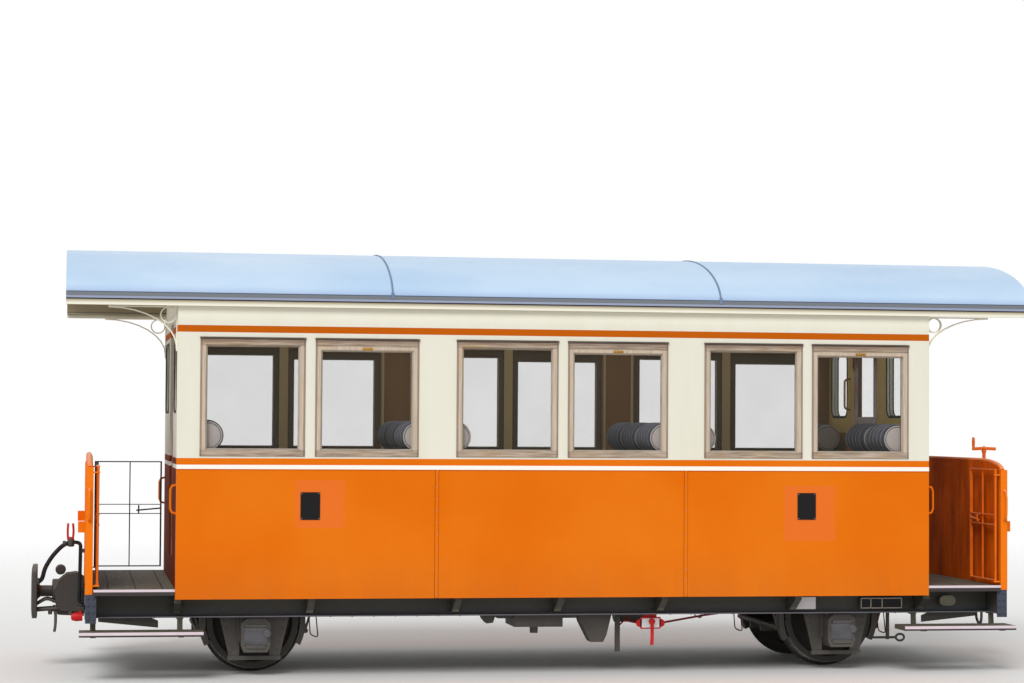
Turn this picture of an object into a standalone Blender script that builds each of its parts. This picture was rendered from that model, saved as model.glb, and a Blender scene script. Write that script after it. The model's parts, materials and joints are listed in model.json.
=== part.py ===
"""Open-platform passenger coach on two axles, metre gauge.

Metres, +Z up. X runs along the coach, the near side is at -Y. The origin lies under the
middle of the coach at the lowest point of the wheel flanges, so the rail top is at
FLANGE_DEPTH. Heights written as RAIL_TOP + h are h above the rail.
"""

import math

import bmesh
import bpy
from mathutils import Matrix, Vector

# Widths: the solebars lie inside the body, and the wheels inside the solebars
BODY_WIDTH = 2.450
SOLEBAR_OUTER = BODY_WIDTH / 2 - 0.225
WHEEL_INSET = 0.500
GAUGE = 2 * (SOLEBAR_OUTER - WHEEL_INSET)

# Running gear
WHEELBASE = 4.500
TREAD_DIAMETER = 0.700
FLANGE_DEPTH = 0.028
TYRE_WIDTH = 0.125
AXLE_DIAMETER = 0.120
JOURNAL_DIAMETER = 0.090
JOURNAL_SIDES = 24
WHEEL_SIDES = 36
RAIL_TOP = FLANGE_DEPTH
AXLE_HEIGHT = RAIL_TOP + TREAD_DIAMETER / 2

# Underframe
OVER_BUFFERS = 7.800
FRAME_LENGTH = 7.000
SOLEBAR_FLANGE = 0.070
SOLEBAR_BOTTOM = RAIL_TOP + 0.418
SOLEBAR_HEIGHT = 0.180
PLATE = 0.010
HEADSTOCK_WIDTH = BODY_WIDTH - 0.090
CROSS_WIDTH = 0.058
CROSS_FOOT = 0.082
DRAWBAR = 0.080
FRAME_TOP = SOLEBAR_BOTTOM + SOLEBAR_HEIGHT

# Axleboxes, their guides and leaf springs
BOX_HALF = 0.108
BOX_BOTTOM = RAIL_TOP + 0.155
BOX_TOP = AXLE_HEIGHT + 0.125
GUARD_PLANE = SOLEBAR_OUTER - 0.205
JOURNAL_CENTRE = SOLEBAR_OUTER - 0.170
SPRING_CENTRE = SOLEBAR_OUTER - 0.150
SPRING_WIDTH = 0.070
SPRING_HALF = 0.420
SPRING_CAMBER = 0.050
LEAF = 0.011
LEAVES = 5

# Floors
BOARD = 0.038
DECK_WIDTH = BODY_WIDTH - 0.040
SALOON_FLOOR_TOP = RAIL_TOP + 0.820

# Body
BODY_LENGTH = 5.712
WALL = 0.055
SKIRT_BOTTOM = RAIL_TOP + 0.566
WALL_TOP = RAIL_TOP + 2.730
WAIST_LINE = RAIL_TOP + 1.513

# Windows: the outer frame, its members and the middle of each on the side
WINDOW_WIDTH = 0.767
WINDOW_BOTTOM = RAIL_TOP + 1.606
WINDOW_TOP = RAIL_TOP + 2.469
STILE = 0.046
TOP_RAIL = 0.056
SASH_TOP_RAIL = 0.086
BOTTOM_RAIL = 0.050
PANE = 0.006
FRAME_PROUD = 0.009
WINDOW_GAP_SLIM = 0.073
WINDOW_GAP_WIDE = 0.281

# Roof
ROOF_LENGTH = 7.320
ROOF_WIDTH = BODY_WIDTH + 0.080
EAVE_BOTTOM = RAIL_TOP + 2.698
EAVE_TOP = RAIL_TOP + 2.795
ROOF_RISE = 0.377
ROOF_THICKNESS = 0.050
ARCH_POWER = 1.9
ARCH_ROOT = 1.7

# Platforms
PANEL_THICKNESS = 0.060
PANEL_WIDTH = BODY_WIDTH - 0.070
PANEL_TOP = RAIL_TOP + 1.589
POST_TOP = RAIL_TOP + 1.525
POST = 0.049
GATE_BOTTOM = RAIL_TOP + 0.670
GATE_TOP = RAIL_TOP + 1.530
GATE_REACH = 0.535
GATE_ROD = 0.018
GATE_BAR = 0.030
GATE_BAR_THICKNESS = 0.008

# Doorways and panes of the end walls. Each end is the other one turned half way round,
# and the doorway stands beside the middle, away from the long bench.
DOOR_WIDTH = 0.600
DOOR_OFFSET = 0.170
PANE_BOTTOM = RAIL_TOP + 1.930
PANE_TOP = RAIL_TOP + 2.470
PANE_EDGES = ((-1.090, -0.375), (0.660, 1.090))
DOOR_TOP = RAIL_TOP + 2.600
DOOR_THICKNESS = 0.038
HINGE_HEIGHTS = (SALOON_FLOOR_TOP + 0.230, DOOR_TOP - 0.220)
HINGE_HALF = 0.045

# Buffers and couplings
BUFFER_CENTRE = RAIL_TOP + 0.553
BUFFER_HEIGHT = 0.403
BUFFER_WIDTH = 0.340
BUFFER_PLATE = 0.045

# Benches. The aisle runs along the far side
BENCH_X = 0.938
END_BENCH_X = BODY_LENGTH / 2 - 0.230
AISLE_EDGE = 0.425
LONG_BENCH_EDGE = 0.165
SHORT_BENCH_EDGE = 0.635
SEAT_TOP = SALOON_FLOOR_TOP + 0.430
SEAT_DEPTH = 0.450
SEAT_THICKNESS = 0.130
BACK_PROUD = 0.060
BOLSTER_RADIUS = 0.119
BOLSTER_CENTRE = RAIL_TOP + 1.755
BOLSTER_PITCH = 0.300

# Footboards
STEP_TOP = RAIL_TOP + 0.335
STEP_THICKNESS = 0.034
STEP_OUTER = BODY_WIDTH / 2 + 0.050
STEP_INNER = SOLEBAR_OUTER + 0.030
STEP_START = 2.650
STEP_END = 3.540

SEAT_GAP = 0.0003
RUNNING_GAP = 0.008
NEAR, FAR = -1, 1
LEFT, RIGHT = -1, 1
SIDES = (("near", NEAR), ("far", FAR))
ENDS = (("left", LEFT), ("right", RIGHT))

HALF_BODY = BODY_LENGTH / 2
HALF_WIDTH = BODY_WIDTH / 2
WALL_INNER = HALF_WIDTH - WALL
HALF_FRAME = FRAME_LENGTH / 2
DECK_TOP = FRAME_TOP + BOARD
WEB_OUTER = SOLEBAR_OUTER - SOLEBAR_FLANGE
WEB_INNER = WEB_OUTER - PLATE
PANEL_INNER = HALF_FRAME - PANEL_THICKNESS

# Colour, roughness and metallic of each finish
FINISHES = {
    "orange": ((0.72, 0.16, 0.01), 0.45, 0.0),
    "cream": ((0.86, 0.84, 0.71), 0.5, 0.0),
    "roof grey": ((0.60, 0.72, 0.84), 0.4, 0.3),
    "black iron": ((0.03, 0.03, 0.035), 0.6, 0.6),
    "tyre steel": ((0.25, 0.24, 0.23), 0.4, 0.9),
    "deck boards": ((0.22, 0.18, 0.13), 0.8, 0.0),
    "window wood": ((0.28, 0.19, 0.12), 0.7, 0.0),
    "door wood": ((0.20, 0.07, 0.03), 0.5, 0.0),
    "upholstery": ((0.30, 0.28, 0.34), 0.9, 0.0),
    "brake red": ((0.50, 0.04, 0.03), 0.5, 0.2),
}


def clear_scene():
    for old in list(bpy.data.objects):
        bpy.data.objects.remove(old, do_unlink=True)


def finish(name):
    """The Principled material of a named finish, made once."""
    found = bpy.data.materials.get(name)
    if found:
        return found
    colour, roughness, metallic = FINISHES[name]
    made = bpy.data.materials.new(name)
    made.use_nodes = True
    shader = made.node_tree.nodes["Principled BSDF"]
    shader.inputs["Base Color"].default_value = (*colour, 1)
    shader.inputs["Roughness"].default_value = roughness
    shader.inputs["Metallic"].default_value = metallic
    return made


def solid(corners, faces):
    """A closed shape as a linked object, its faces turned outwards."""
    mesh = bpy.data.meshes.new("shape")
    mesh.from_pydata([tuple(c) for c in corners], [], faces)
    work = bmesh.new()
    work.from_mesh(mesh)
    bmesh.ops.recalc_face_normals(work, faces=work.faces)
    work.to_mesh(mesh)
    work.free()
    made = bpy.data.objects.new("shape", mesh)
    bpy.context.collection.objects.link(made)
    return made


def span(middle, size):
    return middle - size / 2, middle + size / 2


def loft(loops):
    """Loops with the same number of corners, joined in order and capped at both ends."""
    count = len(loops[0])
    corners = [corner for loop in loops for corner in loop]
    faces = [tuple(range(count)), tuple(range(len(corners) - count, len(corners)))]
    for start in range(0, len(corners) - count, count):
        for k in range(count):
            after = (k + 1) % count
            faces.append((start + k, start + after, start + count + after, start + count + k))
    return solid(corners, faces)


def prism(outline, axis, ends):
    """An outline carried along an axis. Outline pairs are (y, z), (x, z) or (x, y)."""
    place = {
        "x": lambda a, b, along: (along, a, b),
        "y": lambda a, b, along: (a, along, b),
        "z": lambda a, b, along: (a, b, along),
    }[axis]
    return loft([[place(a, b, along) for a, b in outline] for along in ends])


def box(x, y, z):
    """A block from three (low, high) pairs."""
    return prism([(x[0], y[0]), (x[1], y[0]), (x[1], y[1]), (x[0], y[1])], "z", z)


def ring(centre, radius, axis, along, steps, turn=0.0):
    """Corners of a circle across an axis, at the place along it."""
    angles = [turn + 2 * math.pi * k / steps for k in range(steps)]
    pairs = [(centre[0] + radius * math.cos(a), centre[1] + radius * math.sin(a)) for a in angles]
    if axis == "x":
        return [(along, a, b) for a, b in pairs]
    if axis == "y":
        return [(a, along, b) for a, b in pairs]
    return [(a, b, along) for a, b in pairs]


def turned(profile, axis, centre, steps=24):
    """A solid of revolution. The profile's pairs are (place along the axis, radius)."""
    return loft([ring(centre, radius, axis, along, steps) for along, radius in profile])


def rod(start, end, radius, steps=10):
    """A round bar between two points."""
    start, end = Vector(start), Vector(end)
    turn = (end - start).to_track_quat("Z", "Y").to_matrix()
    circle = [Vector(p) for p in ring((0, 0), radius, "z", 0, steps)]
    return loft([[p + turn @ c for c in circle] for p in (start, end)])


def bent_rod(points, radius, steps=8):
    """A round bar along a path, its sections turned half way between its straight runs."""
    points = [Vector(p) for p in points]
    runs = [(b - a).normalized() for a, b in zip(points, points[1:])]
    loops = []
    side = runs[0].orthogonal().normalized()
    for k, point in enumerate(points):
        before, after = runs[max(k - 1, 0)], runs[min(k, len(runs) - 1)]
        along = (before + after).normalized()
        side = (side - along * side.dot(along)).normalized()
        across = along.cross(side)
        stretch = 1 / max(along.dot(before), 0.5)
        bend = (after - before)
        lean = bend.normalized() if bend.length > 1e-6 else None
        loop = []
        for j in range(steps):
            turn = 2 * math.pi * j / steps
            offset = (side * math.cos(turn) + across * math.sin(turn)) * radius
            if lean:
                offset += lean * offset.dot(lean) * (stretch - 1)
            loop.append(point + offset)
        loops.append(loop)
    return loft(loops)


def bar(start, end, across, width, thickness):
    """A flat bar between two points: width along the direction across, thickness square to it."""
    start, end = Vector(start), Vector(end)
    along = (end - start).normalized()
    wide = Vector(across) - along * Vector(across).dot(along)
    wide = wide.normalized() * width / 2
    thick = along.cross(wide).normalized() * thickness / 2
    return loft([[p - wide - thick, p + wide - thick, p + wide + thick, p - wide + thick]
                 for p in (start, end)])


def mirrored(outline, end=1):
    """An outline with its first coordinate turned to the given side."""
    return [(a * end, b) for a, b in outline]


def arc(centre, radius, start, stop, steps):
    """Points on an arc, angles in degrees."""
    for k in range(steps + 1):
        angle = math.radians(start + (stop - start) * k / steps)
        yield centre[0] + radius * math.cos(angle), centre[1] + radius * math.sin(angle)


def group_of(shapes):
    """A hidden collection that holds shapes for one Boolean."""
    group = bpy.data.collections.new("shapes")
    for shape in shapes:
        group.objects.link(shape)
        shape.hide_render = True
        shape.display_type = "WIRE"
    return group


def fuse(name, colour, shapes, cuts=(), smooth=False):
    """One closed body: the union of the shapes, less the cuts."""
    base, rest = shapes[0], shapes[1:]
    groups = []
    for operation, tools in (("UNION", rest), ("DIFFERENCE", cuts)):
        if tools:
            group = group_of(tools)
            step = base.modifiers.new(operation.title(), "BOOLEAN")
            step.operation = operation
            step.operand_type = "COLLECTION"
            step.collection = group
            step.solver = "EXACT"
            groups.append(group)
    graph = bpy.context.evaluated_depsgraph_get()
    mesh = bpy.data.meshes.new_from_object(base.evaluated_get(graph))
    mesh.name = name
    mesh.materials.clear()
    mesh.materials.append(finish(colour))
    if smooth:
        mesh.shade_smooth()
        mesh.set_sharp_from_angle(angle=math.radians(35))
    made = bpy.data.objects.new(name, mesh)
    bpy.context.collection.objects.link(made)
    for group in groups:
        bpy.data.collections.remove(group)
    for shape in (base, *rest, *cuts):
        bpy.data.objects.remove(shape, do_unlink=True)
    return made


def hang_on(made, axis_point):
    """Put the object's origin on its joint's axis and leave its shape where it is."""
    point = Vector(axis_point)
    made.data.transform(Matrix.Translation(-point))
    made.location = point
    return made


def arch_points(half_width, foot, rise, steps, reach=1.0):
    """The roof's arch from -reach to +reach of its half width, as (y, z)."""
    points = []
    for k in range(steps + 1):
        across = -math.cos(math.pi * k / steps) * reach
        height = (1 - abs(across) ** ARCH_POWER) ** (1 / ARCH_ROOT)
        points.append((across * half_width, foot + rise * height))
    return points


def ceiling_points(clearance=0.0):
    """The underside of the roof boards between the walls."""
    crown = EAVE_TOP + ROOF_RISE - ROOF_THICKNESS
    return arch_points(WALL_INNER, WALL_TOP, crown - WALL_TOP - clearance, 20)


def window_middles():
    """Middles of the six windows: three pairs, counted from the left."""
    pair = WINDOW_WIDTH + WINDOW_GAP_SLIM
    pitch = pair + WINDOW_WIDTH + WINDOW_GAP_WIDE
    return [pitch * group + pair * place for group in (-1, 0, 1) for place in (-0.5, 0.5)]


def channel(axis, place, ends, bottom, height, facing):
    """A rolled channel, its web at the given place and its flanges to the facing side."""
    web, tip = place, place + facing * SOLEBAR_FLANGE
    back = web - facing * PLATE
    top = bottom + height
    outline = [(back, bottom), (tip, bottom), (tip, bottom + PLATE), (web, bottom + PLATE),
               (web, top - PLATE), (tip, top - PLATE), (tip, top), (back, top)]
    if axis == "x":
        return prism(outline, "x", ends)
    return prism(outline, "y", ends)


def axleguard(side, end):
    """Trapezoid horn plate with its tie bar, cut out for the axlebox."""
    middle = end * WHEELBASE / 2
    top, foot = SOLEBAR_BOTTOM + 0.100, RAIL_TOP + 0.104
    plane = span(side * GUARD_PLANE, 0.012)
    head, toe, slot, beam, plate = 0.262, 0.186, BOX_HALF + 0.004, 0.550, 0.360
    legs = []
    for way in (-1, 1):
        outline = [(middle + way * slot, foot), (middle + way * toe, foot),
                   (middle + way * head, SOLEBAR_BOTTOM), (middle + way * head, top),
                   (middle + way * slot, top)]
        legs.append(prism(outline, "y", plane))
        legs.append(box((middle + way * slot, middle + way * beam),
                        (side * (GUARD_PLANE - 0.006), side * (WEB_OUTER - PLATE / 2)),
                        (SOLEBAR_BOTTOM + 0.004, SOLEBAR_BOTTOM + 0.034)))
        legs.append(box(span(middle + way * (SPRING_HALF - 0.015), 0.050),
                        (side * (SPRING_CENTRE - SPRING_WIDTH / 2), side * (WEB_OUTER - PLATE / 2)),
                        (spring_top() + SEAT_GAP, FRAME_TOP - 0.001)))
    legs.append(box(span(middle, 2 * toe + 0.02), span(side * GUARD_PLANE, 0.030),
                    (foot - 0.018, foot + 0.012)))
    legs.append(box(span(middle, 2 * plate), plane, (BOX_TOP + 0.015, SOLEBAR_BOTTOM + 0.130)))
    return legs


def build_solebars():
    """Each side: a channel with its body brackets, axleguards and spring brackets."""
    reach = HALF_FRAME - SOLEBAR_FLANGE - PLATE - SEAT_GAP
    for name, side in SIDES:
        shapes = [channel("x", side * WEB_OUTER, (-reach, reach), SOLEBAR_BOTTOM, SOLEBAR_HEIGHT, side)]
        shapes += [bracket(place, side) for place in (-2.836, -1.860, -0.770, 0.006, 0.800, 1.840, 2.856)]
        for _, end in ENDS:
            shapes += axleguard(side, end)
        fuse(f"solebar_{name}", "black iron", shapes)


def build_cross_frame():
    """Headstocks and cross members between the solebars, strung on the through drawbar."""
    across = span(0, 2 * (WEB_INNER - SEAT_GAP))
    height = (SOLEBAR_BOTTOM + CROSS_FOOT, FRAME_TOP - 0.001)
    shapes = [channel("y", end * (HALF_FRAME - SOLEBAR_FLANGE), span(0, HEADSTOCK_WIDTH),
                      SOLEBAR_BOTTOM, SOLEBAR_HEIGHT, end) for _, end in ENDS]
    shapes += [box(span(place, CROSS_WIDTH), across, height)
               for place in (-2.71, -1.79, -0.77, 0, 0.77, 1.79, 2.71)]
    shapes.append(box(span(0, 2 * (HALF_FRAME - SOLEBAR_FLANGE) - PLATE), span(0, DRAWBAR),
                      (FRAME_TOP - DRAWBAR, FRAME_TOP - 0.004)))
    fuse("cross_frame", "black iron", shapes)


def bracket(place, side):
    """A gusset that carries the body's sill beside the solebar."""
    reach = WALL_INNER - SEAT_GAP
    foot, top = SOLEBAR_BOTTOM + 0.030, FRAME_TOP - 0.002
    outline = [(side * (WEB_OUTER - 0.004), foot), (side * (SOLEBAR_OUTER + 0.012), foot),
               (side * reach, top - 0.060), (side * reach, top), (side * (WEB_OUTER - 0.004), top)]
    return prism(outline, "x", span(place, 0.050))


def build_floors():
    """The raised saloon floor on its sills and the two lower platform decks."""
    board_low = SALOON_FLOOR_TOP - BOARD
    outer = WALL_INNER - SEAT_GAP
    end_inner = HALF_BODY - WALL - SEAT_GAP
    shapes = [box(span(0, 2 * end_inner), span(0, 2 * outer), (board_low, SALOON_FLOOR_TOP))]
    sill_inner = SOLEBAR_OUTER - 0.100
    for _, side in SIDES:
        shapes.append(box(span(0, 2 * end_inner), (side * sill_inner, side * outer),
                          (FRAME_TOP + SEAT_GAP, board_low + 0.010)))
    for place in (-2.740, -1.450, 0, 1.450, 2.740):
        shapes.append(box(span(place, 0.080), span(0, 2 * sill_inner + 0.050),
                          (FRAME_TOP + SEAT_GAP, board_low + 0.010)))
    fuse("saloon_floor", "deck boards", shapes)
    for name, end in ENDS:
        start, stop = HALF_BODY + SEAT_GAP, PANEL_INNER - SEAT_GAP
        deck = box((end * start, end * stop), span(0, DECK_WIDTH), (FRAME_TOP + SEAT_GAP, DECK_TOP))
        nosing = [box((end * (start + 0.001), end * stop), (side * (DECK_WIDTH / 2 - 0.003),
                      side * (DECK_WIDTH / 2 + 0.006)), (FRAME_TOP - 0.004, DECK_TOP + 0.003))
                  for _, side in SIDES]
        fuse(f"platform_deck_{name}", "deck boards", [deck, *nosing])


def grab_handle(points, radius=0.008):
    return bent_rod(points, radius, 6)


def build_side_walls():
    """Each side: panelling with six window openings, cover strips and corner handles."""
    for name, side in SIDES:
        panel = box(span(0, BODY_LENGTH), (side * WALL_INNER, side * HALF_WIDTH), (SKIRT_BOTTOM, WALL_TOP))
        shapes = [panel]
        for joint in (-0.945, 0.945):
            shapes.append(box(span(joint, 0.024), (side * (HALF_WIDTH - 0.010), side * (HALF_WIDTH + 0.005)),
                              (SKIRT_BOTTOM + 0.004, WAIST_LINE)))
        shapes.append(box(span(0, BODY_LENGTH - 0.002), (side * (HALF_WIDTH - 0.010),
                          side * (HALF_WIDTH + 0.006)), (WAIST_LINE - 0.002, WAIST_LINE + 0.031)))
        for _, end in ENDS:
            shapes.append(corner_handle(side, end))
        cuts = [box(span(middle, WINDOW_WIDTH), (side * (WALL_INNER - 0.1), side * (HALF_WIDTH + 0.1)),
                    (WINDOW_BOTTOM, WINDOW_TOP)) for middle in window_middles()]
        fuse(f"side_wall_{name}", "orange", shapes, cuts)


def corner_handle(side, end):
    """Bowed grab handle on the end face of a side wall, beside the platform."""
    y = side * (HALF_WIDTH - WALL / 2)
    face = end * HALF_BODY
    low, high, bow = RAIL_TOP + 1.185, RAIL_TOP + 1.400, 0.042
    path = [(face - end * 0.010, y, low), (face + end * (bow - 0.012), y, low + 0.012),
            (face + end * bow, y, low + 0.040), (face + end * bow, y, high - 0.040),
            (face + end * (bow - 0.012), y, high - 0.012), (face - end * 0.010, y, high)]
    return grab_handle(path)


def glazed(x, z, faces, opening, top_rail, pane_at):
    """A sash with its pane. faces are the inner and outer y, opening insets the members."""
    inner, outer = faces
    way = 1 if outer > inner else -1
    stile, bottom = opening

    def loop(inset_x, inset_low, inset_high, y):
        return [(x[0] + inset_x, y, z[0] + inset_low), (x[1] - inset_x, y, z[0] + inset_low),
                (x[1] - inset_x, y, z[1] - inset_high), (x[0] + inset_x, y, z[1] - inset_high)]

    def hole(grow, y):
        return loop(stile - grow, bottom - grow, top_rail - grow, y)

    back, front = pane_at - way * PANE / 2, pane_at + way * PANE / 2
    return loft([hole(0, back), hole(0, inner), loop(0, 0, 0, inner), loop(0, 0, 0, outer - way * 0.004),
                 loop(0.004, 0.004, 0.004, outer), hole(0.008, outer), hole(0, outer - way * 0.010),
                 hole(0, front)])


def build_windows():
    """Twelve side windows: fixed ones and drop ones take turns along each side."""
    for name, side in SIDES:
        for number, middle in enumerate(window_middles(), 1):
            top_rail = TOP_RAIL if number % 2 else SASH_TOP_RAIL
            x = span(middle, WINDOW_WIDTH - 2 * SEAT_GAP)
            z = (WINDOW_BOTTOM + SEAT_GAP, WINDOW_TOP - SEAT_GAP)
            faces = (side * WALL_INNER, side * (HALF_WIDTH + FRAME_PROUD))
            shape = glazed(x, z, faces, (STILE, BOTTOM_RAIL), top_rail, side * (HALF_WIDTH - 0.020))
            fuse(f"window_{name}_{number}", "window wood", [shape])


def rounded(x, z, radius, steps=4):
    """Outline of a rectangle with round corners, as pairs."""
    points = []
    for (a, b, start) in ((x[1], z[1], 0), (x[0], z[1], 90), (x[0], z[0], 180), (x[1], z[0], 270)):
        across = a - radius if start in (0, 270) else a + radius
        up = b - radius if start in (0, 90) else b + radius
        points += list(arc((across, up), radius, start, start + 90, steps))
    return points


def build_end_walls():
    """Each end: a wall under the arch with a doorway, two panes and scroll brackets."""
    for name, end in ENDS:
        inner, outer = end * (HALF_BODY - WALL), end * HALF_BODY
        reach = WALL_INNER - SEAT_GAP
        arch = [(y * reach / WALL_INNER, z - 2 * SEAT_GAP) for y, z in ceiling_points()]
        outline = [(reach, FRAME_TOP + SEAT_GAP), *reversed(arch), (-reach, FRAME_TOP + SEAT_GAP)]
        wall = prism(outline, "x", (inner, outer))
        cuts = [box((inner - end * 0.1, outer + end * 0.1), span(end * DOOR_OFFSET, DOOR_WIDTH + 0.010),
                    (SALOON_FLOOR_TOP, DOOR_TOP + 0.005))]
        for edges in PANE_EDGES:
            pane = rounded(sorted(end * y for y in edges), (PANE_BOTTOM, PANE_TOP), 0.07)
            cuts.append(prism(pane, "x", (inner - end * 0.1, inner + end * 0.022)))
            cuts.append(prism(pane, "x", (outer - end * 0.027, outer + end * 0.1)))
        shapes = [wall] + [scroll(side, end) for _, side in SIDES] + wall_hinges(end)
        fuse(f"end_wall_{name}", "cream", shapes, cuts)


def scroll(side, end):
    """Flat scroll bracket from the corner of the body to the eave: a bowed bar and a ring."""
    y = span(side * (WALL_INNER - 0.028), 0.026)
    wall = HALF_BODY
    top = EAVE_BOTTOM - SEAT_GAP
    width = 0.009
    start, stop = (wall + 0.006, RAIL_TOP + 2.400), (wall + 0.500, top - width)
    outer_line, inner_line = [], []
    steps = 8
    for k in range(steps + 1):
        t = k / steps
        x = start[0] + (stop[0] - start[0]) * (1 - math.cos(t * math.pi / 2))
        z = start[1] + (stop[1] - start[1]) * math.sin(t * math.pi / 2)
        lean = Vector((-math.cos(t * math.pi / 2), math.sin(t * math.pi / 2)))
        lean.normalize()
        outer_line.append((x + lean.x * width / 2, z + lean.y * width / 2))
        inner_line.append((x - lean.x * width / 2, z - lean.y * width / 2))
    bowed = prism(mirrored(outer_line + inner_line[::-1], end), "y", y)
    upright = box((end * (wall - 0.004), end * (wall + width)), y, (start[1] - 0.03, top))
    head = box((end * (wall - 0.004), end * stop[0]), y, (top - width, top))
    centre, radius = (end * (wall + 0.068), RAIL_TOP + 2.634), 0.060
    rim = hoop(centre, radius, width, y)
    return union_of([bowed, upright, head, rim])


def hoop(centre, radius, width, y):
    """A flat ring across Y."""
    made = turned([(y[0], radius), (y[1], radius)], "y", centre, 16)
    cut = turned([(y[0] - 0.1, radius - width), (y[1] + 0.1, radius - width)], "y", centre, 16)
    return union_of([made], [cut])


def union_of(shapes, cuts=()):
    """The shapes as one linked shape, for use in a larger union."""
    made = fuse("shape", "cream", list(shapes), list(cuts))
    return made


def build_roof():
    """The arched roof in one sweep, with its eave boards and a seat for the walls."""
    half, foot = ROOF_WIDTH / 2, EAVE_TOP
    outer = arch_points(half, foot, ROOF_RISE, 28)
    lip = HALF_WIDTH + SEAT_GAP
    seat = WALL_TOP + SEAT_GAP
    ceiling = [(y, z + SEAT_GAP) for y, z in ceiling_points()]
    outline = [(-half, EAVE_BOTTOM), *outer, (half, EAVE_BOTTOM), (lip, EAVE_BOTTOM), (lip, seat),
               *reversed(ceiling), (-lip, seat), (-lip, EAVE_BOTTOM)]
    roof = prism(outline, "x", span(0, ROOF_LENGTH))
    fuse("roof", "roof grey", [roof], smooth=True)


def build_doors():
    """Hinged saloon doors, closed, which open into the aisle."""
    for name, end in ENDS:
        inner = HALF_BODY - WALL
        y, z = span(end * DOOR_OFFSET, DOOR_WIDTH), (SALOON_FLOOR_TOP + 0.006, DOOR_TOP)
        faces = (end * inner, end * (inner + DOOR_THICKNESS))
        leaf = door_leaf(y, z, faces)
        pin = hinge_pin(end)
        knuckles = [turned([(place - HINGE_HALF, 0.007), (place + HINGE_HALF, 0.007)], "z", pin, 10)
                    for place in HINGE_HEIGHTS]
        straps = [box((end * (inner - 0.005), end * (inner + 0.004)),
                      (pin[1] - end * 0.060, pin[1] - end * 0.0015),
                      span(place, 2 * HINGE_HALF - 0.010)) for place in HINGE_HEIGHTS]
        knob = turned([(end * (inner - 0.045), 0.018), (end * (inner - 0.030), 0.018),
                       (end * (inner - 0.028), 0.009), (end * (inner + 0.004), 0.009)], "x",
                      (pin[1] - end * (DOOR_WIDTH - 0.055), SALOON_FLOOR_TOP + 1.0), 12)
        made = fuse(f"saloon_door_{name}", "door wood", [leaf, *knuckles, *straps, knob])
        hang_on(made, (pin[0], pin[1], z[0]))


def hinge_pin(end):
    """Where a saloon door's hinge pin stands, just inside the wall."""
    return end * (HALF_BODY - WALL - 0.007), end * (DOOR_OFFSET + DOOR_WIDTH / 2)


def wall_hinges(end):
    """The fixed halves of the door's hinges: two knuckles and a strap each."""
    inner, pin = HALF_BODY - WALL, hinge_pin(end)
    shapes = []
    for place in HINGE_HEIGHTS:
        for way in (-1, 1):
            ends = (place + way * (HINGE_HALF + SEAT_GAP), place + way * (HINGE_HALF + 0.025))
            shapes.append(turned([(z, 0.007) for z in sorted(ends)], "z", pin, 10))
            shapes.append(box((end * (inner - 0.005), end * (inner + 0.004)),
                              (pin[1] + end * 0.002, pin[1] + end * 0.060),
                              (ends[0] + way * 0.001, ends[1] - way * 0.001)))
    return shapes


def door_leaf(y, z, faces):
    """A framed leaf: a sunk pane above, a sunk panel below."""
    inner, outer = faces
    way = 1 if outer > inner else -1
    leaf = box((inner, outer), y, z)
    cuts = []
    for low, high, depth in ((z[0] + 0.130, PANE_BOTTOM - 0.140, 0.010), (PANE_BOTTOM, z[1] - 0.120, 0.016)):
        across = (y[0] + 0.095, y[1] - 0.095)
        cuts.append(box((inner - way * 0.1, inner + way * depth), across, (low, high)))
        cuts.append(box((outer - way * depth, outer + way * 0.1), across, (low, high)))
    return union_of([leaf], cuts)


def panel_outline():
    """The end panel's outline: level crown, falling in a long curve to the corner posts."""
    half = PANEL_WIDTH / 2
    foot = FRAME_TOP + SEAT_GAP
    level, fall = half * 0.59, PANEL_TOP - POST_TOP + 0.006
    run = half - POST - level
    edge = [(level + run * math.sin(math.radians(a)), PANEL_TOP - fall * (1 - math.cos(math.radians(a))))
            for a in (0, 20, 40, 60, 75, 90)]
    edge.append((half - POST, foot))
    return [(-y, z) for y, z in edge] + edge[::-1]


def build_platform_panels():
    """The closed end of each platform: a sheeted panel, corner posts, rail and fittings."""
    for name, end in ENDS:
        outer = HALF_FRAME
        sheet = (end * (PANEL_INNER + 0.014), end * (outer - 0.008))
        shapes = [prism(panel_outline(), "x", sheet)]
        for side in (NEAR, FAR):
            y = (side * (PANEL_WIDTH / 2 - POST), side * PANEL_WIDTH / 2)
            shapes.append(box((end * (outer - POST - 0.004), end * outer), y,
                              (FRAME_TOP + SEAT_GAP, POST_TOP)))
            shapes.append(box(sheet, (y[0] - side * 0.006, y[0] + side * 0.006),
                              (FRAME_TOP + SEAT_GAP, POST_TOP - 0.012)))
            shapes += gate_seats(side, end)
            shapes.append(post_handle(side, end))
            shapes.append(box((end * (outer - 0.014), end * (outer + 0.055)),
                              span(side * (PANEL_WIDTH / 2 - 0.110), 0.060), span(RAIL_TOP + 1.087, 0.080)))
        shapes.append(panel_rail(end))
        for share in (-3, -2, -1, 0, 1, 2, 3):
            place = share * PANEL_WIDTH * 0.1325
            shapes.append(box((end * (outer - 0.010), end * (outer - 0.002)), span(place, 0.040),
                              (DECK_TOP + 0.01, PANEL_TOP - 0.06 - 0.04 * (abs(share) == 3))))
        fuse(f"platform_panel_{name}", "orange", shapes)


def panel_rail(end):
    """Round-edged cap along the top of the end panel."""
    top = [(y, z) for y, z in panel_outline() if z > POST_TOP - 0.02]
    top = [p for p in top if p[1] > POST_TOP - 0.012]
    top.sort()
    middle = end * (HALF_FRAME - 0.027)
    path = [(middle, y, z) for y, z in top]
    return bent_rod(path, 0.021, 10)


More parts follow.
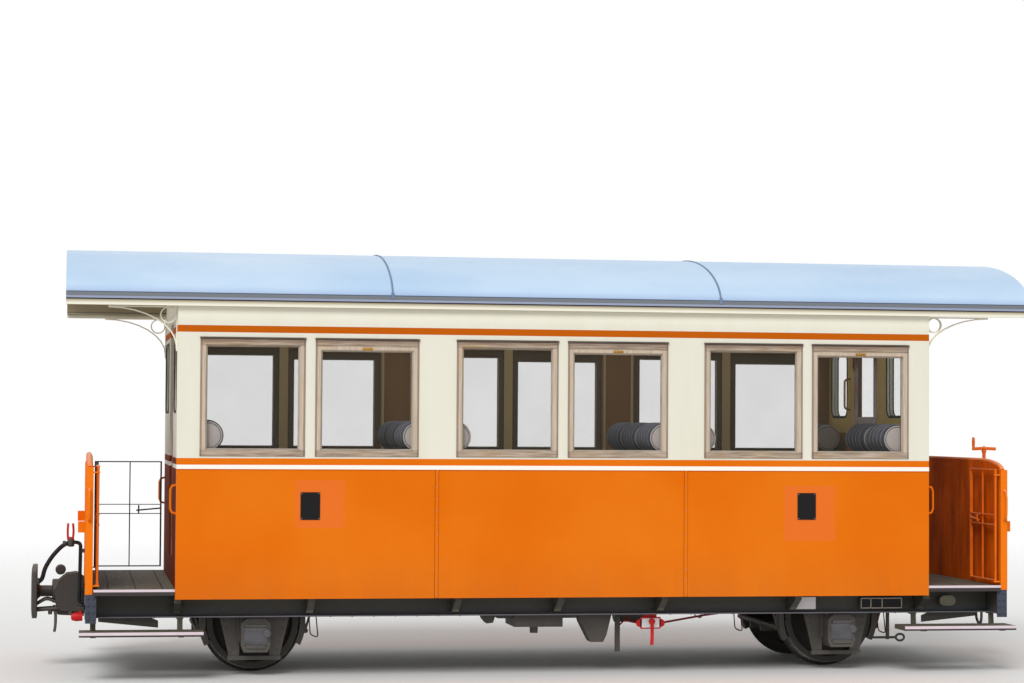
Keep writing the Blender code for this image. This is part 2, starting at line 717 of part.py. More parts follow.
def gate_seats(side, end):
    """The two lugs between which a gate's rod turns."""
    x, y = gate_axis(side, end)
    shapes = []
    for low in (GATE_BOTTOM - SEAT_GAP - 0.010, GATE_TOP + SEAT_GAP):
        if low > GATE_BOTTOM:
            low -= 0.050
        shapes.append(box((x - end * 0.014, end * (HALF_FRAME - 0.020)), span(y, 0.028),
                          (low, low + 0.010)))
    return shapes


def gate_axis(side, end):
    return end * (PANEL_INNER - 0.026), side * (PANEL_WIDTH / 2 - POST / 2)


def post_handle(side, end):
    """Bowed grab handle on the outer face of a corner post."""
    x = end * (HALF_FRAME - POST / 2)
    face, bow = PANEL_WIDTH / 2, 0.045
    low, high = RAIL_TOP + 1.130, RAIL_TOP + 1.370
    path = [(x, side * (face - 0.010), low), (x, side * (face + bow - 0.014), low + 0.020),
            (x, side * (face + bow), low + 0.060), (x, side * (face + bow), high - 0.060),
            (x, side * (face + bow - 0.014), high - 0.020), (x, side * (face - 0.010), high)]
    return grab_handle(path, 0.009)


def build_gates():
    """Four flat-bar gates. The near ones stand open against the end panels, the far ones shut."""
    for end_name, end in ENDS:
        for side_name, side in SIDES:
            x, y = gate_axis(side, end)
            shut = side == FAR
            along = Vector((-end, 0, 0)) if shut else Vector((0, -side, 0))
            shapes = gate_bars(Vector((x, y, 0)), along)
            made = fuse(f"gate_{end_name}_{side_name}", "orange", shapes)
            hang_on(made, (x, y, GATE_BOTTOM))


def gate_bars(pivot, along):
    """The hinge rod, four rails and three uprights of a gate."""
    across = Vector((-along.y, along.x, 0))
    upper = GATE_TOP - 0.050
    shapes = [turned([(GATE_BOTTOM, GATE_ROD / 2), (upper, GATE_ROD / 2)], "z", pivot[:2], 12)]

    def flat(start, stop, low, high, thickness):
        corners = [pivot + along * a + across * b for a, b in
                   ((start, -thickness), (stop, -thickness), (stop, thickness), (start, thickness))]
        return prism([(c.x, c.y) for c in corners], "z", (low, high))

    rails = ((GATE_BOTTOM + 0.012, GATE_BAR), (RAIL_TOP + 1.090, GATE_BAR * 0.6),
             (RAIL_TOP + 1.165, GATE_BAR * 0.6), (upper - 0.012 - GATE_BAR, GATE_BAR))
    for low, height in rails:
        shapes.append(flat(0.002, GATE_REACH, low, low + height, GATE_BAR_THICKNESS / 2))
    for place in (0.050, 0.270, GATE_REACH - GATE_BAR):
        shapes.append(flat(place, place + GATE_BAR * 0.7, GATE_BOTTOM + 0.020, upper - 0.020,
                           GATE_BAR_THICKNESS / 2 - 0.001))
    return shapes


def build_wheelsets():
    """Axle with two tyred disc wheels, turned in one piece."""
    tread = TREAD_DIAMETER / 2
    back = GAUGE / 2 - 0.030
    end_of_journal = JOURNAL_CENTRE + 0.055
    for name, end in ENDS:
        centre = (end * WHEELBASE / 2, AXLE_HEIGHT)
        axle, journal = AXLE_DIAMETER / 2, JOURNAL_DIAMETER / 2
        shoulder = JOURNAL_CENTRE - 0.095
        shapes = [turned([(-end_of_journal, journal), (-shoulder, journal), (-shoulder + 0.002, axle),
                          (shoulder - 0.002, axle), (shoulder, journal), (end_of_journal, journal)],
                         "y", centre, JOURNAL_SIDES)]
        for _, side in SIDES:
            outline = [(0.000, tread - 0.055), (0.004, tread + FLANGE_DEPTH),
                       (0.020, tread + FLANGE_DEPTH - 0.006), (0.030, tread + 0.004),
                       (TYRE_WIDTH, tread - 0.004), (TYRE_WIDTH, tread - 0.058),
                       (0.080, tread - 0.062), (0.080, 0.125), (0.128, 0.100), (0.128, 0.050),
                       (-0.020, 0.050), (-0.020, 0.100), (0.040, 0.130)]
            # A flat of each facet ring stands on the ground, at the true radius
            half_facet = math.pi / WHEEL_SIDES
            rim = [ring(centre, r / math.cos(half_facet), "y", side * (back + a), WHEEL_SIDES, half_facet)
                   for a, r in outline]
            shapes.append(closed_loft(rim))
        made = fuse(f"wheelset_{name}", "tyre steel", shapes, smooth=True)
        hang_on(made, (centre[0], 0, centre[1]))


def closed_loft(loops):
    """Loops joined in order and the last joined to the first, as a ring-shaped solid."""
    count = len(loops[0])
    corners = [corner for loop in loops for corner in loop]
    faces = []
    for j in range(len(loops)):
        here, there = j * count, (j + 1) % len(loops) * count
        for k in range(count):
            after = (k + 1) % count
            faces.append((here + k, here + after, there + after, there + k))
    return solid(corners, faces)


def build_axleboxes():
    """Four axleboxes with their leaf springs, guided in the axleguards."""
    for end_name, end in ENDS:
        for side_name, side in SIDES:
            x = end * WHEELBASE / 2
            shapes = axlebox(x, side)
            shapes += leaf_spring(x, side)
            # The flats of the bore clear the corners of the journal as it turns
            bearing = (JOURNAL_DIAMETER / 2 + SEAT_GAP) / math.cos(math.pi / JOURNAL_SIDES)
            start, stop = side * (JOURNAL_CENTRE - 0.130), side * (JOURNAL_CENTRE + 0.058)
            bore = turned([(start, bearing), (stop, bearing)], "y", (x, AXLE_HEIGHT), JOURNAL_SIDES)
            fuse(f"axlebox_{end_name}_{side_name}", "black iron", shapes, [bore])


def axlebox(x, side):
    """A cast box: body, nose below the solebar with a hinged lid, slides for the guide legs."""
    back, face = side * (JOURNAL_CENTRE - 0.085), side * (JOURNAL_CENTRE + 0.075)
    nose = side * (JOURNAL_CENTRE + 0.125)
    neck = SOLEBAR_BOTTOM - 0.012
    foot = [(x - BOX_HALF, BOX_BOTTOM + 0.050), (x - BOX_HALF + 0.020, BOX_BOTTOM),
            (x + BOX_HALF - 0.020, BOX_BOTTOM), (x + BOX_HALF, BOX_BOTTOM + 0.050)]
    body = foot + [(x + BOX_HALF, BOX_TOP - 0.030), (x + BOX_HALF - 0.030, BOX_TOP),
                   (x - BOX_HALF + 0.030, BOX_TOP), (x - BOX_HALF, BOX_TOP - 0.030)]
    front = foot + [(x + BOX_HALF, neck - 0.040), (x + BOX_HALF - 0.040, neck),
                    (x - BOX_HALF + 0.040, neck), (x - BOX_HALF, neck - 0.040)]
    lid = [(x - 0.070, BOX_BOTTOM + 0.030), (x + 0.070, BOX_BOTTOM + 0.030),
           (x + 0.078, BOX_BOTTOM + 0.110), (x + 0.050, BOX_BOTTOM + 0.175),
           (x - 0.050, BOX_BOTTOM + 0.175), (x - 0.078, BOX_BOTTOM + 0.110)]
    shapes = [prism(body, "y", (back, face)), prism(front, "y", (face - side * 0.01, nose)),
              prism(lid, "y", (nose - side * 0.004, nose + side * 0.012)),
              turned([(nose, 0.030), (nose + side * 0.022, 0.026)], "y", (x, BOX_BOTTOM + 0.105), 12),
              box(span(x, 0.120), (nose - side * 0.004, nose + side * 0.018),
                  (BOX_BOTTOM + 0.170, BOX_BOTTOM + 0.186))]
    for offset in (-0.0175, 0.0175):
        shapes.append(box(span(x, 2 * BOX_HALF + 0.050), span(side * (GUARD_PLANE + offset), 0.011),
                          (BOX_BOTTOM + 0.065, SOLEBAR_BOTTOM - 0.004)))
    return shapes


def spring_top():
    """Height of the upper face of the longest leaf at its ends."""
    return BOX_TOP + LEAF * LEAVES + SPRING_CAMBER


def leaf_spring(x, side):
    """Laminated spring over the box, the longest leaf on top, held by its buckle."""
    y = span(side * SPRING_CENTRE, SPRING_WIDTH)
    shapes = []
    for k in range(LEAVES):
        half = SPRING_HALF - 0.075 * (LEAVES - 1 - k)
        low = BOX_TOP + LEAF * k
        line = [(x + half * t, low + SPRING_CAMBER * (half * t / SPRING_HALF) ** 2)
                for t in (-1, -0.66, -0.33, 0, 0.33, 0.66, 1)]
        top = [(a, b + LEAF + (0 if k == LEAVES - 1 else 0.001)) for a, b in reversed(line)]
        shapes.append(prism(line + top, "y", y))
    shapes.append(box(span(x, 0.080), span(side * SPRING_CENTRE, SPRING_WIDTH + 0.016),
                      (BOX_TOP - 0.010, BOX_TOP + 0.008 + LEAF * LEAVES)))
    return shapes


def build_buffers():
    """Centre buffer and coupling at each end."""
    for name, end in ENDS:
        face = OVER_BUFFERS / 2
        half_w, half_h = BUFFER_WIDTH / 2, BUFFER_HEIGHT / 2
        plate = prism(rounded((-half_w, half_w), (BUFFER_CENTRE - half_h, BUFFER_CENTRE + half_h), 0.060),
                      "x", (end * (face - BUFFER_PLATE), end * (face - 0.008)))
        dome = turned([(end * (face - 0.012), 0.150), (end * (face - 0.004), 0.120), (end * face, 0.060)],
                      "x", (0, BUFFER_CENTRE), 24)
        shank = turned([(end * (HALF_FRAME + 0.020), 0.045), (end * (face - BUFFER_PLATE + 0.004), 0.045)],
                       "x", (0, BUFFER_CENTRE), 20)
        centre = RAIL_TOP + 0.470
        guide = turned([(end * (HALF_FRAME + 0.010), 0.090), (end * (HALF_FRAME + 0.190), 0.078),
                        (end * (HALF_FRAME + 0.210), 0.090), (end * (HALF_FRAME + 0.245), 0.090)],
                       "x", (0, BUFFER_CENTRE), 24)
        foot = box((end * (HALF_FRAME + SEAT_GAP), end * (HALF_FRAME + 0.022)), span(0, 0.300),
                   (SOLEBAR_BOTTOM + 0.002, FRAME_TOP - 0.002))
        neck = box((end * (HALF_FRAME + 0.004), end * (HALF_FRAME + 0.120)), span(0, 0.090),
                   (SOLEBAR_BOTTOM - 0.050, BUFFER_CENTRE))
        corners = ((0.010, -0.110), (0.200, -0.100), (0.250, -0.060), (0.225, -0.030), (0.190, -0.060),
                   (0.010, -0.050))
        outline = [(HALF_FRAME + x, centre + z) for x, z in corners]
        hook = prism(mirrored(outline, end), "y", span(0, 0.040))
        fuse(f"buffer_{name}", "black iron", [plate, dome, shank, guide, foot, neck, hook], smooth=True)


def build_brake_hose():
    """Air hose and cock at the left end, held on the outside of the end panel."""
    x, y = -(HALF_FRAME + 0.075), -0.200
    path = [(-(HALF_FRAME + 0.004 + SEAT_GAP), y, SOLEBAR_BOTTOM + 0.060)]
    path += [(-(HALF_FRAME + 0.045), y, SOLEBAR_BOTTOM + 0.050), (x - 0.020, y, SOLEBAR_BOTTOM + 0.080),
             (x - 0.030, y, SOLEBAR_BOTTOM + 0.160), (x - 0.030, y, RAIL_TOP + 0.850)]
    hose = bent_rod(path, 0.017, 10)
    flange = turned([(-(HALF_FRAME + SEAT_GAP), 0.034), (-(HALF_FRAME + 0.012), 0.034)], "x",
                    (y, SOLEBAR_BOTTOM + 0.060), 12)
    head = turned([(RAIL_TOP + 0.840, 0.026), (RAIL_TOP + 0.905, 0.026), (RAIL_TOP + 0.920, 0.034),
                   (RAIL_TOP + 0.975, 0.030)], "z", (x - 0.030, y), 12)
    clip = box((-(HALF_FRAME - 0.008 + SEAT_GAP), x - 0.030), span(y, 0.024), span(RAIL_TOP + 0.870, 0.030))
    fuse("brake_hose_left", "black iron", [hose, flange, head, clip], smooth=True)


def build_footboards():
    """Step boards on flat hangers under the four platform entrances."""
    for end_name, end in ENDS:
        for side_name, side in SIDES:
            board = box((end * STEP_START, end * STEP_END), (side * STEP_INNER, side * STEP_OUTER),
                        (STEP_TOP - STEP_THICKNESS, STEP_TOP))
            shapes = [board]
            head, under = SOLEBAR_BOTTOM - SEAT_GAP, STEP_TOP - STEP_THICKNESS
            outline = [(SOLEBAR_OUTER - 0.012, head), (SOLEBAR_OUTER - 0.002, head),
                       (SOLEBAR_OUTER + 0.010, under + 0.004), (STEP_OUTER - 0.020, under + 0.004),
                       (STEP_OUTER - 0.020, under - 0.006), (SOLEBAR_OUTER - 0.002, under - 0.006)]
            flange = (side * (SOLEBAR_OUTER - 0.055), side * (SOLEBAR_OUTER - 0.002))
            for place in (2.810, 3.440):
                x = end * place
                shapes.append(prism(mirrored(outline, side), "x", span(x, 0.040)))
                shapes.append(box(span(x, 0.050), flange, (head - 0.010, head)))
            fuse(f"footboard_{end_name}_{side_name}", "deck boards", shapes)


def build_brake_gear():
    """Blocks on both sides of each wheel, hung from the cross members and tied by beams."""
    tread = TREAD_DIAMETER / 2
    block_y = GAUGE / 2 + 0.058
    for name, end in ENDS:
        middle = end * WHEELBASE / 2
        shapes = []
        for way in (-1, 1):
            for _, side in SIDES:
                shapes.append(brake_block(middle, way, side * block_y, tread))
                head = middle + way * 0.460
                low = middle + way * (tread + RUNNING_GAP + 0.040)
                shapes.append(bar((head, side * block_y, SOLEBAR_BOTTOM + 0.072),
                                  (low, side * block_y, AXLE_HEIGHT - 0.075), (0, 1, 0), 0.024, 0.016))
                shapes.append(box(span(head, 0.050), span(side * block_y, 0.060),
                                  (SOLEBAR_BOTTOM + 0.060, SOLEBAR_BOTTOM + CROSS_FOOT - SEAT_GAP)))
            beam_x = middle + way * (tread + RUNNING_GAP + 0.045)
            shapes.append(rod((beam_x, -block_y, AXLE_HEIGHT - 0.070), (beam_x, block_y, AXLE_HEIGHT - 0.070),
                              0.020, 10))
        reach = tread + RUNNING_GAP + 0.045
        for y in (-0.150, 0.150):
            low = AXLE_HEIGHT - 0.110
            shapes.append(bar((middle - reach, y, low), (middle + reach, y, low), (0, 0, 1), 0.050, 0.016))
            for way in (-1, 1):
                shapes.append(box(span(middle + way * reach, 0.040), span(y, 0.030),
                                  (AXLE_HEIGHT - 0.130, AXLE_HEIGHT - 0.060)))
        fuse(f"brake_gear_{name}", "black iron", shapes)


def brake_block(middle, way, y, tread):
    """A cast block curved to the tread."""
    inner, outer = tread + RUNNING_GAP, tread + RUNNING_GAP + 0.042
    lower, upper = (-26, 20)
    start, stop = (lower, upper) if way > 0 else (180 - lower, 180 - upper)
    centre = (middle, AXLE_HEIGHT)
    near = list(arc(centre, inner, start, stop, 6))
    back = list(arc(centre, outer, start, stop, 6))
    return prism(near + back[::-1], "y", span(y, 0.076))


def build_underfloor():
    """Brake cylinder on the cross members and the equipment box behind the near solebar."""
    centre = (-0.060, SOLEBAR_BOTTOM - 0.030)
    drum = turned([(0.645, 0.060), (0.652, 0.100), (0.930, 0.100), (0.937, 0.070)], "x", centre, 24)
    seats = [box(span(x, 0.040), span(centre[0], 0.120), (centre[1], SOLEBAR_BOTTOM + CROSS_FOOT - SEAT_GAP))
             for x in (0.770,)]
    piston = turned([(0.930, 0.020), (1.100, 0.020)], "x", centre, 12)
    fuse("brake_cylinder", "black iron", [drum, *seats, piston], smooth=True)
    low = RAIL_TOP + 0.322
    case = box((-0.301, 0.071), behind_web(0.020, 0.420), (low, SOLEBAR_BOTTOM + 0.060))
    bed = box((-0.640, 0.700), behind_web(0.120, 0.180), (SOLEBAR_BOTTOM - 0.012, SOLEBAR_BOTTOM + 0.012))
    tray = box((-0.420, 0.190), behind_web(0.060, 0.360), (RAIL_TOP + 0.385, SOLEBAR_BOTTOM))
    block = prism([(-0.545, SOLEBAR_BOTTOM), (-0.430, SOLEBAR_BOTTOM), (-0.452, RAIL_TOP + 0.350),
                   (-0.500, RAIL_TOP + 0.345), (-0.530, RAIL_TOP + 0.380)], "y",
                  behind_web(0.090, 0.210))
    hopper = prism([(0.202, SOLEBAR_BOTTOM), (0.462, SOLEBAR_BOTTOM), (0.420, RAIL_TOP + 0.250),
                    (0.395, RAIL_TOP + 0.200), (0.300, RAIL_TOP + 0.200), (0.225, RAIL_TOP + 0.345)],
                   "y", behind_web(0.070, 0.230))
    strap = box(span(0.522, 0.036), behind_web(0.134, 0.166), (RAIL_TOP + 0.120, SOLEBAR_BOTTOM))
    hanger = box(span(0, 0.050), behind_web(0.060, 0.380),
                 (SOLEBAR_BOTTOM + 0.050, SOLEBAR_BOTTOM + CROSS_FOOT - SEAT_GAP))
    boss = turned([(low - 0.060, 0.030), (low + 0.004, 0.034)], "z", (-0.115, -(WEB_INNER - 0.220)), 12)
    fuse("equipment_box", "black iron", [case, hanger, boss, bed, tray, block, hopper, strap])


def behind_web(start, stop):
    """Span across the coach, from start to stop behind the web of the near solebar."""
    return (-(WEB_INNER - start), -(WEB_INNER - stop))


def build_handbrake():
    """Handbrake column with its crank, outside the right end panel."""
    x, y = HALF_FRAME + 0.052, -0.550
    column = rod((x, y, SOLEBAR_BOTTOM + 0.020), (x, y, RAIL_TOP + 1.680), 0.014, 12)
    arm = bar((x - 0.105, y - 0.020, RAIL_TOP + 1.680), (x + 0.105, y + 0.020, RAIL_TOP + 1.680),
              (0, 1, 0), 0.026, 0.012)
    grip = rod((x - 0.095, y - 0.018, RAIL_TOP + 1.676), (x - 0.095, y - 0.018, RAIL_TOP + 1.775), 0.011, 10)
    nut = turned([(RAIL_TOP + 1.655, 0.022), (RAIL_TOP + 1.695, 0.022)], "z", (x, y), 12)
    lugs = [box((HALF_FRAME - 0.008 + SEAT_GAP, x + 0.022), span(y, 0.044), span(RAIL_TOP + z, 0.024))
            for z in (0.820, 1.480)]
    foot = box((HALF_FRAME + SEAT_GAP, x + 0.024), span(y, 0.060),
               (SOLEBAR_BOTTOM + 0.006, SOLEBAR_BOTTOM + 0.034))
    fuse("handbrake", "orange", [column, arm, grip, nut, *lugs, foot], smooth=True)


def bench_outline(double):
    """Side view of a bench: plinth, seat, back and a round bolster on each back.

    x = 0 is the middle of a double bench, and the middle of the bolster of a single one.
    """
    floor = SALOON_FLOOR_TOP + SEAT_GAP
    bolster = BOLSTER_PITCH / 2 if double else 0
    back = bolster + BACK_PROUD
    front, low = back + SEAT_DEPTH, SEAT_TOP - SEAT_THICKNESS
    plinth = front - 0.120
    meet = math.degrees(math.asin(BACK_PROUD / BOLSTER_RADIUS))
    half = [(plinth, floor), (plinth, low), (front, low), (front, SEAT_TOP - 0.020),
            (front - 0.020, SEAT_TOP), (back, SEAT_TOP)]
    half += arc((bolster, BOLSTER_CENTRE), BOLSTER_RADIUS, meet - 90, 180, 15)
    if double:
        return half + [(-x, z) for x, z in reversed(half)]
    rear = END_BENCH_X - (HALF_BODY - WALL - 0.005)
    return half + [(rear, BOLSTER_CENTRE), (rear, floor)]


def build_benches():
    """Two back-to-back benches beside the aisle, and a long and a short bench at each end."""
    wall = WALL_INNER - 0.006
    # Name, place, way it faces, double or not, and its two ends across the coach
    rows = (("middle_left", -BENCH_X, 1, True, (-wall, AISLE_EDGE)),
            ("middle_right", BENCH_X, 1, True, (-wall, AISLE_EDGE)),
            ("left_near", -END_BENCH_X, 1, False, (-wall, -SHORT_BENCH_EDGE)),
            ("left_far", -END_BENCH_X, 1, False, (LONG_BENCH_EDGE, wall)),
            ("right_near", END_BENCH_X, -1, False, (-wall, -LONG_BENCH_EDGE)),
            ("right_far", END_BENCH_X, -1, False, (SHORT_BENCH_EDGE, wall)))
    for name, x, facing, double, ends in rows:
        outline = [(x + facing * a, z) for a, z in bench_outline(double)]
        fuse(f"bench_{name}", "upholstery", [prism(outline, "y", ends)], smooth=True)


def main():
    clear_scene()
    build_solebars()
    build_cross_frame()
    build_floors()
    build_side_walls()
    build_windows()
    build_end_walls()
    build_roof()
    build_doors()
    build_platform_panels()
    build_gates()
    build_wheelsets()
    build_axleboxes()
    build_buffers()
    build_brake_hose()
    build_footboards()
    build_brake_gear()
    build_underfloor()
    build_handbrake()
    build_benches()


main()
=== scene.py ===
"""Visual model of a two-axle passenger coach with open end platforms.

Metres, in the frame of the CAD: X along the coach, the near side at -Y and +Z up. Heights
written as RAIL + h are h above the rail top.
"""

from __future__ import annotations

import json
import logging
import math
from collections.abc import Sequence
from dataclasses import dataclass
from enum import Enum
from typing import Any

import bmesh
import bpy
import numpy as np
from mathutils import Matrix, Vector

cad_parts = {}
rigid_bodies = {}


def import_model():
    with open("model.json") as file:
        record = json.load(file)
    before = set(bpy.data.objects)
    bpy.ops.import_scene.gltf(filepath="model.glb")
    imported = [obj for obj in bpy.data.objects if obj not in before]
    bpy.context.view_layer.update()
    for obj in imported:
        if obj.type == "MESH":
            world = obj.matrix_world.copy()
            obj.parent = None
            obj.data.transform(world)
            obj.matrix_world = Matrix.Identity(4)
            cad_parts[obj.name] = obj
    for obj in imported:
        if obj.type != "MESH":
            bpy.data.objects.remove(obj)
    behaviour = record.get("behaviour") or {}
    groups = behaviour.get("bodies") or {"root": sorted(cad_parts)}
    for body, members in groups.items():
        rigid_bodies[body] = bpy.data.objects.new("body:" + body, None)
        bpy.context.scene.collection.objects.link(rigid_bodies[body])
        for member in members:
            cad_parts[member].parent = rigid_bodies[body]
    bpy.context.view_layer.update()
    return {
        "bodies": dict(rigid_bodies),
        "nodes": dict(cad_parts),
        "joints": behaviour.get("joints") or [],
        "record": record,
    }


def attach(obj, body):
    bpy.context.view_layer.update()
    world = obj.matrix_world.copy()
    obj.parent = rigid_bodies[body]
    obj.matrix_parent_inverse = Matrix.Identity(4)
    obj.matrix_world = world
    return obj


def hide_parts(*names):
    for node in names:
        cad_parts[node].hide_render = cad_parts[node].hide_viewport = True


log = logging.getLogger("coach")

Colour = tuple[float, float, float]
Point = tuple[float, float, float]
Array = np.ndarray

RAIL = 0.028
NEAR, FAR = -1, 1
SIDES = (("near", NEAR), ("far", FAR))
ENDS = (("left", -1), ("right", 1))

# Body shell, as in the CAD
HALF_BODY = 2.856
HALF_WIDTH = 1.225
WALL = 0.055
WALL_INNER = HALF_WIDTH - WALL
WALL_TOP = RAIL + 2.730
WAIST = RAIL + 1.513
WAIST_BAND = 0.031
WINDOW_LOW = RAIL + 1.606
WINDOW_HIGH = RAIL + 2.469
WINDOW_WIDTH = 0.767
WINDOW_MIDDLES = (-2.308, -1.468, -0.420, 0.420, 1.468, 2.308)
PANE_LOW = RAIL + 1.930
PANE_HIGH = RAIL + 2.470
PANE_OUT = HALF_WIDTH - 0.020
DOOR_OFFSET = 0.170
DOOR_TOP = RAIL + 2.600
FLOOR_TOP = RAIL + 0.820

# Frame and platforms, as in the CAD
FRAME_LOW = RAIL + 0.418
FRAME_TOP = FRAME_LOW + 0.180
DECK_TOP = FRAME_TOP + 0.038
HALF_FRAME = 3.500
SOLEBAR_OUTER = 1.000
WEB_OUTER = 0.930
AXLE_X = 2.250
AXLE_Z = RAIL + 0.350


def srgb(red: float, green: float, blue: float) -> Colour:
    """Turn screen values from 0 to 255 into a linear colour.

    Args:
        red: Red as seen on a screen.
        green: Green as seen on a screen.
        blue: Blue as seen on a screen.

    Returns:
        The linear colour: a low value over 12.92, else ((v + 0.055) / 1.055) to the 2.4.
    """
    parts = np.array((red, green, blue)) / 255
    linear = np.where(parts <= 0.04045, parts / 12.92, ((parts + 0.055) / 1.055) ** 2.4)
    return tuple(linear.tolist())


# Shader expressions


class Wire:
    """A shader socket that takes part in Python expressions through Math nodes."""

    def __init__(self, tree: bpy.types.NodeTree, socket: bpy.types.NodeSocket) -> None:
        """Keep the tree and the socket."""
        self.tree = tree
        self.socket = socket

    def math(self, operation: str, *terms: Wire | float, clamp: bool = False) -> Wire:
        """Add one Math node.

        Args:
            operation: The node's operation.
            terms: Its values, wires or numbers.
            clamp: Keep the result from 0 to 1.

        Returns:
            The result's wire.
        """
        node = self.tree.nodes.new("ShaderNodeMath")
        node.operation = operation
        node.use_clamp = clamp
        for socket, term in zip(node.inputs, terms):
            if isinstance(term, Wire):
                self.tree.links.new(term.socket, socket)
            else:
                socket.default_value = term
        return Wire(self.tree, node.outputs[0])

    def __add__(self, other: Wire | float) -> Wire:
        """Sum."""
        return self.math("ADD", self, other)

    def __radd__(self, other: float) -> Wire:
        """Sum with a number first."""
        return self.math("ADD", other, self)

    def __sub__(self, other: Wire | float) -> Wire:
        """Difference."""
        return self.math("SUBTRACT", self, other)

    def __rsub__(self, other: float) -> Wire:
        """A number less this wire."""
        return self.math("SUBTRACT", other, self)

    def __mul__(self, other: Wire | float) -> Wire:
        """Product."""
        return self.math("MULTIPLY", self, other)

    def __rmul__(self, other: float) -> Wire:
        """Product with a number first."""
        return self.math("MULTIPLY", other, self)

    def __truediv__(self, other: Wire | float) -> Wire:
        """Quotient."""
        return self.math("DIVIDE", self, other)

    def __pow__(self, other: float) -> Wire:
        """Power."""
        return self.math("POWER", self, other)

    def __abs__(self) -> Wire:
        """Distance from zero."""
        return self.math("ABSOLUTE", self)

    def clamped(self) -> Wire:
        """Held from 0 to 1."""
        return self.math("ADD", self, 0.0, clamp=True)

    def over(self, edge: float, soft: float = 0.001) -> Wire:
        """1 above an edge and 0 below it, with a ramp of the width soft between."""
        return ((self - edge) / soft + 0.5).clamped()

    def between(self, low: float, high: float, soft: float = 0.001) -> Wire:
        """1 from low to high and 0 outside."""
        return self.over(low, soft) * (1 - self.over(high, soft))

    def repeat(self, pitch: float) -> Wire:
        """Place within a pattern that repeats, from 0 to 1."""
        return self.math("FRACT", self / pitch)


class Surface:
    """The node tree of one material in the making."""

    def __init__(self, name: str) -> None:
        """Start from a Principled shader and the Object coordinates."""
        self.material = bpy.data.materials.new(name)
        self.material.use_nodes = True
        self.tree = self.material.node_tree
        self.shader = self.tree.nodes["Principled BSDF"]
        coordinates = self.node("ShaderNodeTexCoord")
        self.object = coordinates.outputs["Object"]
        self.normal = coordinates.outputs["Normal"]
        self.x, self.y, self.z = self.split(self.object)

    def node(self, kind: str, settings: dict[str, Any] | None = None,
             values: dict[str | int, Any] | None = None) -> bpy.types.Node:
        """Add any node.

        Args:
            kind: The node's type.
            settings: Properties, which are set first.
            values: Values, sockets or wires for its sockets.

        Returns:
            The node.
        """
        made = self.tree.nodes.new(kind)
        for name, value in (settings or {}).items():
            setattr(made, name, value)
        for key, value in (values or {}).items():
            self.feed(made.inputs[key], value)
        return made

    def feed(self, socket: bpy.types.NodeSocket, value: Any) -> None:
        """Link a wire or a socket to a socket, or set its value."""
        if isinstance(value, Wire):
            self.tree.links.new(value.socket, socket)
        elif isinstance(value, bpy.types.NodeSocket):
            self.tree.links.new(value, socket)
        elif isinstance(value, tuple) and socket.type == "RGBA":
            socket.default_value = (*value, 1)
        else:
            socket.default_value = value

    def split(self, vector: bpy.types.NodeSocket) -> tuple[Wire, Wire, Wire]:
        """The three parts of a vector."""
        parts = self.node("ShaderNodeSeparateXYZ", values={0: vector})
        return tuple(Wire(self.tree, part) for part in parts.outputs)

    def noise(self, scale: float, detail: float = 3, stretch: Point = (1, 1, 1)) -> Wire:
        """Noise on the Object coordinates.

        Args:
            scale: Lumps in a metre.
            detail: How many finer layers it has.
            stretch: What each coordinate is multiplied by first.

        Returns:
            A wire from 0 to 1 with its mean near 0.5.
        """
        place = self.node("ShaderNodeVectorMath", {"operation": "MULTIPLY"}, {0: self.object, 1: stretch})
        made = self.node("ShaderNodeTexNoise", values={"Vector": place.outputs[0], "Scale": scale,
                                                       "Detail": detail})
        return Wire(self.tree, made.outputs[0])

    def mix(self, factor: Wire | float, first: Any, second: Any) -> Wire:
        """A colour between two, at a factor from 0 to 1."""
        made = self.node("ShaderNodeMix", {"data_type": "RGBA"}, {0: factor, 6: first, 7: second})
        return Wire(self.tree, made.outputs[2])

    def bump(self, height: Wire, distance: float, strength: float = 1.0) -> bpy.types.NodeSocket:
        """A normal from a height from 0 to 1 over a distance in metres."""
        made = self.node("ShaderNodeBump", values={"Height": height, "Distance": distance,
                                                   "Strength": strength})
        return made.outputs[0]

    def finish(self, **sockets: Any) -> None:
        """Feed the Principled shader, its sockets named with _ for a space."""
        for name, value in sockets.items():
            self.feed(self.shader.inputs[name.replace("_", " ").title().replace("Ior", "IOR")], value)


# Finishes

ORANGE = srgb(224, 108, 4)
ORANGE_FADED = srgb(230, 120, 18)
ORANGE_REPAINT = srgb(230, 112, 44)
# Pale orange of the painted highlight on orange faces that look up
ORANGE_HIGHLIGHT = srgb(244, 168, 128)
STRIPE = srgb(192, 92, 6)
CREAM = srgb(230, 227, 212)
CREAM_DULL = srgb(222, 219, 198)
WHITE = srgb(246, 244, 236)
SOOT = srgb(48, 45, 42)
DUST = srgb(122, 117, 108)
GLASS = srgb(78, 84, 74)
RUST = srgb(88, 58, 40)

# How much of a pane is see-through, how soft its edge is, and specular levels of dull paints
GLASS_DEPTH = 0.93
PANE_EDGE = 0.0004
DULL = 0.22
MATT = 0.07

# Repainted patches of the side walls: along the coach and up
REPAINTS = (((-1.991, -1.628), (RAIL + 1.084, RAIL + 1.435)), ((1.709, 2.109), (RAIL + 0.983, RAIL + 1.399)))


@dataclass(frozen=True)
class Finish:
    """A named surface whose material is made once."""

    name: str

    def material(self) -> bpy.types.Material:
        """The material of this finish."""
        found = bpy.data.materials.get(self.name)
        if found is None:
            surface = Surface(self.name)
            self.dress(surface)
            found = surface.material
        return found

    def dress(self, surface: Surface) -> None:
        """Build the node tree."""
        raise NotImplementedError


class Wall(Enum):
    """Which wall of the body a paint covers."""

    SIDE = "side"
    END = "end"


